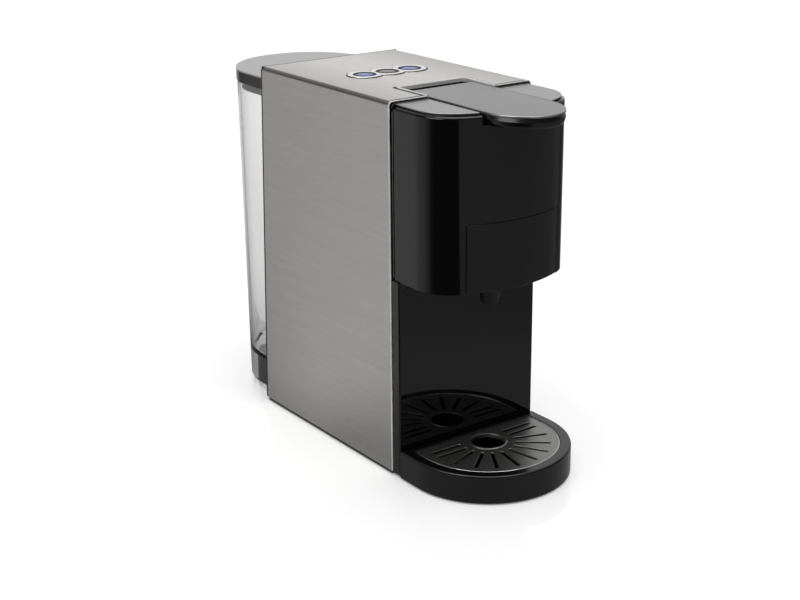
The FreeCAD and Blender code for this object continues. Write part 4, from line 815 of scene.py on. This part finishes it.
LEVER_NOSE = 33
LEVER_TIP = 25.5
LEVER_TILT = 0.25


def lever_outline(inset=0.0):
    return nose(LEVER_HIGH.x, LEVER_HIGH.y, LEVER_LOW.y + LEVER_NOSE, LEVER_NOSE, LEVER_TIP, inset)


def tipped(piece):
    """Turn a lever piece a touch about its pin: the closed lever rests on its nose."""
    pin = Vector((0, PIN_Y, PIN_Z)) * MM
    swing = Matrix.Rotation(math.radians(LEVER_TILT), 4, "X")
    piece.data.transform(Matrix.Translation(pin) @ swing @ Matrix.Translation(-pin))
    return piece


def make_lever():
    low, high = LEVER_LOW.z - 7.6, LEVER_LOW.z
    skin = slab("lever_skin", lever_outline, high - 0.1, LEVER_HIGH.z, SATIN, 0.4, 0.2, 0.3)
    fit(tipped(skin), "lever", "satin_plate", "lever_plate")
    rim = [(x, y, LEVER_HIGH.z - 0.4) for x, y in lever_outline(0.3)]
    fit(tipped(bead("lever_rim", rim, 0.34, BRIGHT, True)), "lever", "bright_trim")
    section = [(3.4, low, 0), (1.6, low, 0.9), (0.5, low + 1.8, 1.5), (0.0, low + 4.4, 2.2),
               (1.15, high, 0.3), (2.4, high, 0)]
    shell = adopt("lever_grip", swept(lever_outline, section, 8), LEVER_BLACK, flat_faces=False)
    fit(tipped(shell), "lever", "gloss_black", "lever_body")
    barrel = [(3.1, -24), (6.1, -24), (6.5, -23.6), (6.5, 23.6), (6.1, 24), (3.1, 24)]
    fit(lathe("lever_hub", barrel, (0, PIN_Y, PIN_Z), BLACK, 48, "x"), "lever", "gloss_black")
    foot = PIN_Z - 3.6
    post = [(6.8, 0), (7.7, 0.3), (8, 1.2), (8, low - foot + 0.5)]
    pusher = lathe("lever_pusher", post, (0, BREW_Y, foot), MATT_BLACK_AND_PAINTED_SHADE, 48)
    fit(tipped(pusher), "lever", "matte_black")
    for side, name in ((-1, "left"), (1, "right")):
        loop = soft_box(side * 18 - 1.5, side * 18 + 1.5, BREW_Y - 4, PIN_Y, 0.8)
        rib = cut_plate(f"lever_rib_{name}", [loop], low - 4, low + 0.5, 0.4, MATT_BLACK_AND_PAINTED_SHADE)
        fit(tipped(rib), "lever", "matte_black")


# ---- capsule drawer ----

def make_drawer():
    path = [point for point in head_outline(0, None, (DRAWER_HALF,))
            if abs(point[0]) < DRAWER_HALF + 0.01 and point[1] < BREW_Y]
    rows = (DRAWER_LOW.z, 170, 186, DRAWER_HIGH.z)
    grid = [[(x, y, z) for z in rows] for x, y in path]
    face = sheet("drawer_face", grid, whole, BLACK, 3.0, 0.35)
    fit(face, "drawer", "gloss_black", "drawer_front")
    low = CARRIER_LOW.z
    cup = [(0, 4), (19, 4), (22, 7), (24.6, 30), (25, 32.5), (26.5, 32.6), (26.5, 35.5), (24, 35.5),
           (23.6, 35.1), (23.4, 32.5), (20.6, 8), (18.2, 5.6), (0, 5.6)]
    fit(lathe("capsule_bowl", cup, (0, BREW_Y, low), STAINLESS, 72), "drawer", "hardware_steel",
        "capsule_cup")
    spots = [(x, BREW_Y + y, low + 5.4) for x, y in arc((0, 0), 6, 0, 300, 5)]
    fit(grown("capsule_spikes", STUDS, spots, [], base_radius=1.5 * MM, tip_radius=0.3 * MM,
              stud_height=5 * MM, finish=STAINLESS), "drawer", "hardware_steel")
    tall = low - SPOUT_LOW.z
    spout = [(4.2, 0.5), (4.6, 0), (5.8, 0), (6.3, 0.5), (7.4, 8), (8.6, 13), (12.4, tall - 5),
             (14, tall - 1), (14, tall), (9, tall), (8.4, tall - 5), (5.4, 8.6)]
    mesh = turned_band(spout, 0, BREW_Y, SPOUT_LOW.z, 72)
    fit(adopt("pouring_spout", mesh, MATT_BLACK_AND_PAINTED_SHADE), "drawer", "matte_black", "outlet_spout")


# ---- buttons ----

def lobes(radius, squeeze=1.0):
    """Outline of three overlapping discs in a row."""
    waist = math.degrees(math.acos(BUTTON_PITCH / 2 / radius))
    right = arc((BUTTON_PITCH, 0), radius, waist - 180, 180 - waist, 40)
    upper = arc((0, 0), radius, waist, 180 - waist, 20)[1:-1]
    left = [(-x, -y) for x, y in right]
    lower = [(-x, -y) for x, y in upper]
    return [(x, BUTTON_ROW + y * squeeze) for x, y in right + upper + left + lower]


def make_buttons():
    places = (-BUTTON_PITCH, 0, BUTTON_PITCH)
    holes = [arc((x, BUTTON_ROW), BUTTON_HOLE, 0, 360, 48)[:-1] for x in places]
    base = cut_plate("bezel_base", [lobes(13.95)] + holes, STEEL_TOP - 0.6, STEEL_TOP + 0.3, 0.08, MATT_BLACK_AND_PAINTED_SHADE)
    fit(base, "body", "matte_black", "button_bezel")
    wide = [arc((x, BUTTON_ROW), 9.0, 0, 360, 48)[:-1] for x in places]
    band = cut_plate("bezel_band", [lobes(12.9)] + wide, STEEL_TOP, STEEL_TOP + 0.62, 0.2, SILVER)
    fit(band, "body", "bright_trim")
    for x, name in zip(places, ("left", "middle", "right")):
        collar = [(BUTTON_HOLE, 0.1), (8.95, 0.1), (8.95, 0.6), (8.7, 0.7), (8.35, 0.7), (BUTTON_HOLE, 0.5)]
        mesh = turned_band(collar, x, BUTTON_ROW, STEEL_TOP, 72)
        fit(adopt(f"bezel_ring_{name}", mesh, MATT_BLACK_AND_PAINTED_SHADE), "body", "matte_black")
        node = f"button_{name}"
        low, high = box(node)
        rise = high.z - low.z
        cap = [(0, 0), (2.5, 0), (2.5, 7.4), (9.2, 7.4), (9.2, 8.8), (7.8, 8.8), (7.8, rise - 0.6),
               (7.6, rise - 0.2), (7.2, rise - 0.05), (6.6, rise - 0.15), (6.2, rise - 0.45),
               (0, rise - 0.45)]
        fit(lathe(f"{node}_rim", cap, (x, BUTTON_ROW, low.z), MATT_BLACK_AND_PAINTED_SHADE, 64), f"{name}_button",
            "matte_black", node)
        dome = [(6.0, -0.7), (6.0, -0.42), (5.2, -0.28), (3.6, -0.2), (1.8, -0.16), (0, -0.15)]
        paint, slot = (BROWN, "button_brown") if name == "middle" else (BLUE, "button_blue")
        fit(lathe(f"{node}_face", dome, (x, BUTTON_ROW, high.z), paint, 64), f"{name}_button", slot)


# ---- drip tray ----

TRAY_HALF = TRAY_HIGH.x
TRAY_START = TRAY_LOW.y + TRAY_HALF
TRAY_REAR = COLUMN_FRONT - 0.5


def make_tray():
    grille_gap = TRAY_REAR - GRILLE_HIGH.y - 0.4

    def ring(inset, height):
        back = inset if inset < 5 else inset - 8.1 + grille_gap
        return at_height(half_round(TRAY_HALF, TRAY_REAR, TRAY_START, inset, back), height)

    top, ledge = TRAY_HIGH.z, GRILLE_LOW.z
    section = [(3, TRAY_LOW.z, 0), (0, TRAY_LOW.z, 1.4), (0, top, 1.7), (8.1, top, 0.5), (8.1, ledge, 0),
               (10.9, ledge, 0.3), (10.9, ledge - 2.5, 0.3), (8.0, ledge - 2.5, 0), (8.0, 5, 1.5),
               (11, 2.8, 0)]
    mesh = stacked([ring(inset, height) for inset, height in softened(section, 5)])
    fit(adopt("tray_shell", mesh, TRAY_BLACK, 0.5, 60), "tray", "gloss_black", "drip_tray")
    for side, name in ((-1, "left"), (1, "right")):
        x = side * 35
        loop = soft_box(x - 5, x + 5, TRAY_REAR - 1, STEEL_FRONT + 7, 1.2)
        fit(cut_plate(f"tray_tongue_{name}", [loop], 4, 7, 0.4, TRAY_BLACK), "tray", "gloss_black")


def ray(angle, width, start, end):
    """Slot with round ends that points away from the hole; the angle is from the front."""
    half = width / 2
    loop = arc((0, start + half), half, 180, 360, 8) + arc((0, end - half), half, 0, 180, 8)
    turn = math.radians(180 + angle)
    return [(x * math.cos(turn) - y * math.sin(turn), BREW_Y + x * math.sin(turn) + y * math.cos(turn))
            for x, y in loop]


def make_grille():
    half = GRILLE_HIGH.x
    rear, top = GRILLE_HIGH.y, GRILLE_HIGH.z
    holes = [arc((0, BREW_Y), 13, 0, 360, 64)[:-1]]
    slot = (3, 19.8, 46.7)
    holes += [ray(angle, *slot) for angle in (10.5, 31, 50, 70, 90, -10.5, -31, -50, -70, -90)]
    for side in (-1, 1):
        holes.append([(x * side, y + 7.4) for x, y in ray(90, *slot)])
    loops = [half_round(half, rear, TRAY_START)] + holes
    plate = cut_plate("grille_sheet", loops, GRILLE_LOW.z, top, 0.28, GRATE)
    fit(plate, "grille", "grille_metal", "drip_grille")
    rim = [(x, y, top - 0.12) for x, y in half_round(half, rear, TRAY_START, 0.25)]
    fit(bead("grille_rim", rim, 0.4, BRIGHT), "grille", "bright_trim")
    collar = [(12.4, -2.4), (13, -2.4), (13, -0.2), (14.4, -0.05), (14.4, 0.25), (14.1, 0.5), (13.6, 0.7),
              (13.0, 0.7), (12.6, 0.5), (12.4, 0.1)]
    mesh = turned_band(collar, 0, BREW_Y, top, 90)
    fit(adopt("grille_collar", mesh, GRATE), "grille", "bright_trim", "grille_ring")


# ---- water tank ----

LID_HALF = LID_HIGH.x
TANK_START = LID_HIGH.y - LID_HALF
FULLER = 1.6
TANK_TAPER = 1.8
TANK_GAP = 2.7
VALVE_Y = 121.7
TANK_TOP = TANK_HIGH.z
TANK_FOOT = TANK_LOW.z


def tank_ring(z, inset):
    """Outline of the tank at a height: a lean front wall and a half round rear."""
    share = (TANK_TOP - z) / (TANK_TOP - TANK_FOOT)
    half = TANK_HIGH.x + FULLER - TANK_TAPER * share - inset
    front = rear_edge(z) + TANK_GAP + inset
    turn = max(3.0 - inset, 0.6)
    outline = arc((half - turn, front + turn), turn, 270, 360, 5) + arc((0, TANK_START), half, 0, 180, 64)
    return at_height(outline + arc((turn - half, front + turn), turn, 180, 270, 5), z)


def make_tank():
    """Clear tank, hollowed below for the block, the gland and the valve, with two level lines."""
    stations = (60, 120, 180, 240)
    levels = [(2.5, 28.6), (2.5, 7), (2.1, 5.8), (1.25, 5.5), (0.4, 5.8), (0, 7)]
    levels += [(0, z) for z in stations]
    levels += [(0, 259), (0.5, 259.9), (1.25, 260), (2.0, 259.8), (2.5, 259)]
    levels += [(2.5, z) for z in reversed(stations)]
    levels += [(2.6, 34), (3.4, 31.6), (5.5, 30.1), (6.5, 30)]
    mesh = stacked([tank_ring(z, inset) for inset, z in levels])
    mesh.transform(Matrix.Scale(MM, 4))
    tank = placed("tank_wall", mesh)
    block = soft_box(-47.2, 47.2, WRAP_HIGH.y - 6, VALVE_Y, 0.5)
    gland = soft_box(46, 63, 103.2, 119.2, 0.5)
    valve = arc((0, VALVE_Y), 7.6, 0, 360, 40)[:-1]
    cutters = [stacked([at_height(loop, low), at_height(loop, high)])
               for loop, low, high in ((block, -1, 27.2), (gland, -1, 27.1), (valve, 20, 36))]
    for index, cutter in enumerate(cutters):
        cutter.transform(Matrix.Scale(MM, 4))
        tool = placed(f"cutter_{index}", cutter)
        cut = tank.modifiers.new("cut", "BOOLEAN")
        cut.object = tool
        cut.solver = "EXACT"
        tank.data = evaluated_mesh(tank)
        tank.modifiers.clear()
        bpy.data.objects.remove(tool)
    plain = tank.data.copy()
    bpy.data.objects.remove(tank)
    plain.transform(Matrix.Scale(1 / MM, 4))
    fit(adopt("tank_clear", plain, CLEAR), "tank", "clear_tank", "tank_shell")
    for z in (222, 231):
        ring = [point for point in tank_ring(z, -0.1) if point[0] < -40 and 128 < point[1] < 143]
        fit(bead(f"level_line_{z}", ring, 0.3, CLEAR), "tank", "clear_tank")


def lid_outline(inset=0.0):
    front = LID_LOW.y + inset
    half = LID_HALF + FULLER - inset
    turn = max(1.6 - inset, 0.5)
    outline = arc((half - turn, front + turn), turn, 270, 360, 4) + arc((0, TANK_START), half, 0, 180, 72)
    return outline + arc((turn - half, front + turn), turn, 180, 270, 4)


def make_lid():
    low, middle, high = LID_LOW.z - 8.5, LID_LOW.z, LID_HIGH.z
    fit(slab("lid_rim", lid_outline, low, middle, BLACK, 0.3, 0.7, 0.0), "lid", "gloss_black", "lid_body")
    fit(slab("lid_top", lid_outline, middle, high, LID_SATIN, 0.5, 0.2, 0.0, 0.15), "lid", "satin_plate",
        "lid_plate")
    edge = [(x, y, high - 0.45) for x, y in lid_outline(0.35)]
    fit(bead("lid_bright_edge", edge, 0.33, BRIGHT, True), "lid", "bright_trim")

    def skirt(inset):
        return [(x, y) for x, y, z in tank_ring(low, 3.5 + inset)]

    section = [(2.2, low + 0.1, 0), (0, low + 0.1, 0.1), (0, low - 6, 0.5), (0.5, low - 6.5, 0.2),
               (1.8, low - 6.5, 0.2), (2.2, low - 6, 0), (2.2, low, 0)]
    rings = [at_height(skirt(inset), z) for inset, z in softened(section, 3)]
    fit(adopt("lid_collar", stacked(rings, True), GREY), "lid", "grey_plastic", "lid_skirt")


# ---- floor, light and camera ----

# Brightness of the painted room the floor glows with for glossy rays, a painted reflection: angle from the
# front, positive to the machine's left hand.
PAINTED_ROOM = ((-180, 0.40), (-168, 0.22), (-158, 0.30), (-147, 0.62), (-130, 0.56), (-111, 0.47), (-101, 0.32),
        (-93, 0.11), (-86, 0.04), (-29, 0.035), (-27, 0.30), (0, 0.30), (20, 0.28), (45, 0.24), (60, 0.21),
        (78, 0.17), (88, 0.19), (96, 0.08), (115, 0.12), (132, 0.95), (150, 1.0), (180, 0.55))
FLOOR_LIFT = 0.22


def painted_room_glow(tree, place):
    """Grey of the painted room glow by the angle round the machine, evened out close to its middle."""
    turned = tree.nodes.new("ShaderNodeMapping")
    turned.inputs["Location"].default_value = (-0.13, -0.03, 0)
    turned.inputs["Rotation"].default_value = (0, 0, math.radians(90))
    round_about = tree.nodes.new("ShaderNodeTexGradient")
    round_about.gradient_type = "RADIAL"
    ramp = tree.nodes.new("ShaderNodeValToRGB")
    while len(ramp.color_ramp.elements) < len(PAINTED_ROOM):
        ramp.color_ramp.elements.new(0.5)
    for element, (angle, grey) in zip(ramp.color_ramp.elements, PAINTED_ROOM):
        element.position = 0.5 + angle / 360
        element.color = (grey, grey, grey, 1)
    tree.links.new(place, turned.inputs["Vector"])
    tree.links.new(turned.outputs["Vector"], round_about.inputs["Vector"])
    tree.links.new(round_about.outputs["Fac"], ramp.inputs["Fac"])
    away = tree.nodes.new("ShaderNodeVectorMath")
    away.operation = "LENGTH"
    tree.links.new(turned.outputs["Vector"], away.inputs[0])
    mix = tree.nodes.new("ShaderNodeMix")
    mix.data_type = "RGBA"
    mix.inputs[6].default_value = (0.30, 0.30, 0.30, 1)
    tree.links.new(ramp.outputs["Color"], mix.inputs[7])
    tree.links.new(spread(tree, away.outputs["Value"], 0.0, 1.0, 0.16, 0.30), mix.inputs[0])
    return mix.outputs[2]


def make_floor():
    """Pale sheet under the machine; to glossy rays it glows as a painted room with darker quarters, so
    polished surfaces show a painted reflection.
    """
    reach = 9.0
    mesh = mesh_of([(-reach, -reach, 0), (reach, -reach, 0), (reach, reach, 0), (-reach, reach, 0)],
                   [(0, 1, 2, 3)])
    floor = placed("floor", mesh)
    material, tree, shader, place = new_finish("pale floor", (0.90, 0.90, 0.90), 0.0, 0.12,
                                               Specular_IOR_Level=0.5)
    haze = cloud(tree, place, 3.0, 2.0)
    tree.links.new(spread(tree, haze, 0.09, 0.13), shader.inputs["Roughness"])
    ray = tree.nodes.new("ShaderNodeLightPath")
    shader.inputs["Emission Color"].default_value = (1, 1, 1, 1)
    lift = combined(tree, "MULTIPLY", ray.outputs["Is Camera Ray"], FLOOR_LIFT)
    tree.links.new(lift, shader.inputs["Emission Strength"])
    # painted room glow seen by glossy rays on the floor: a painted reflection
    painted_room_emission = tree.nodes.new("ShaderNodeEmission")
    tree.links.new(painted_room_glow(tree, place), painted_room_emission.inputs["Color"])
    either = tree.nodes.new("ShaderNodeMixShader")
    tree.links.new(ray.outputs["Is Glossy Ray"], either.inputs[0])
    tree.links.new(shader.outputs[0], either.inputs[1])
    tree.links.new(painted_room_emission.outputs[0], either.inputs[2])
    tree.links.new(either.outputs[0], tree.nodes["Material Output"].inputs["Surface"])
    mesh.materials.append(material)


def make_light():
    """Even overhead light, brighter from the rear right, and a soft lamp at the machine's left side."""
    world = bpy.data.worlds.new("studio")
    bpy.context.scene.world = world
    world.use_nodes = True
    tree = world.node_tree
    tree.nodes.clear()
    way = tree.nodes.new("ShaderNodeTexCoord")
    toward = tree.nodes.new("ShaderNodeVectorMath")
    toward.operation = "DOT_PRODUCT"
    toward.inputs[1].default_value = (0.5, 0.87, 0.1)
    tree.links.new(way.outputs["Generated"], toward.inputs[0])
    behind = spread(tree, toward.outputs["Value"], 0.14, 1.0, 0.32, 0.95)
    split = tree.nodes.new("ShaderNodeSeparateXYZ")
    tree.links.new(way.outputs["Generated"], split.inputs[0])
    above = spread(tree, split.outputs["Z"], 0.0, 0.85, 0.56, 0.72)
    brighter = combined(tree, "MAXIMUM", behind, above)
    seen = tree.nodes.new("ShaderNodeLightPath")
    mix = tree.nodes.new("ShaderNodeMix")
    mix.data_type = "FLOAT"
    tree.links.new(seen.outputs["Is Camera Ray"], mix.inputs[0])
    tree.links.new(brighter, mix.inputs[2])
    mix.inputs[3].default_value = 1.05
    back = tree.nodes.new("ShaderNodeBackground")
    tree.links.new(mix.outputs[0], back.inputs["Strength"])
    out = tree.nodes.new("ShaderNodeOutputWorld")
    tree.links.new(back.outputs[0], out.inputs["Surface"])
    sun = bpy.data.lights.new("overhead", "SUN")
    sun.energy = 1.7
    sun.angle = math.radians(60)
    placed("overhead", sun).rotation_euler = (math.radians(12), math.radians(-8), 0)
    for width, tall, power in ((0.80, 0.46, 2.6), (0.62, 0.36, 2.4), (0.46, 0.26, 2.0), (0.30, 0.17, 1.3),
                               (0.16, 0.09, 0.6)):
        soft = bpy.data.lights.new("side lamp", "AREA")
        soft.shape = "ELLIPSE"
        soft.size, soft.size_y = width, tall
        soft.energy = power
        stand = placed("side lamp", soft)
        stand.visible_diffuse = False
        stand.location = (-0.95, -0.2, 0.62)
        stand.rotation_euler = (Vector((0, -0.1, 0.26)) - stand.location).to_track_quat("-Z", "Y").to_euler()


CAMERA_DISTANCE = 1210.56
FOCAL_LENGTH = 67.46625
FRAME_WIDTH = 800


def make_camera():
    turn, tilt, roll = (math.radians(angle) for angle in (-35.68, 19.21, -0.49))
    back = Vector((math.sin(turn) * math.cos(tilt), -math.cos(turn) * math.cos(tilt), math.sin(tilt)))
    right = Vector((math.cos(turn), math.sin(turn), 0))
    up = back.cross(right)
    across = right * math.cos(roll) + up * math.sin(roll)
    above = up * math.cos(roll) - right * math.sin(roll)
    place = (across * 2.18 + above * 94.48 + back * CAMERA_DISTANCE) * MM + Vector((0, 0.0023, 0))
    camera = bpy.data.cameras.new("camera")
    camera.sensor_width = 36
    camera.lens = FOCAL_LENGTH
    camera.shift_x = 1.1 / FRAME_WIDTH
    camera.shift_y = 0.95 / FRAME_WIDTH
    camera.clip_start = 0.05
    camera.clip_end = 60
    stand = placed("camera", camera)
    turned = Matrix((across, above, back)).transposed().to_4x4()
    stand.matrix_world = Matrix.Translation(place) @ turned
    bpy.context.scene.camera = stand


finish_cad_nodes()
make_steel()
make_notch()
make_column()
make_head()
make_lever()
make_drawer()
make_buttons()
make_tray()
make_grille()
make_tank()
make_lid()
make_floor()
make_light()
make_camera()
bpy.context.scene.view_settings.view_transform = "Standard"
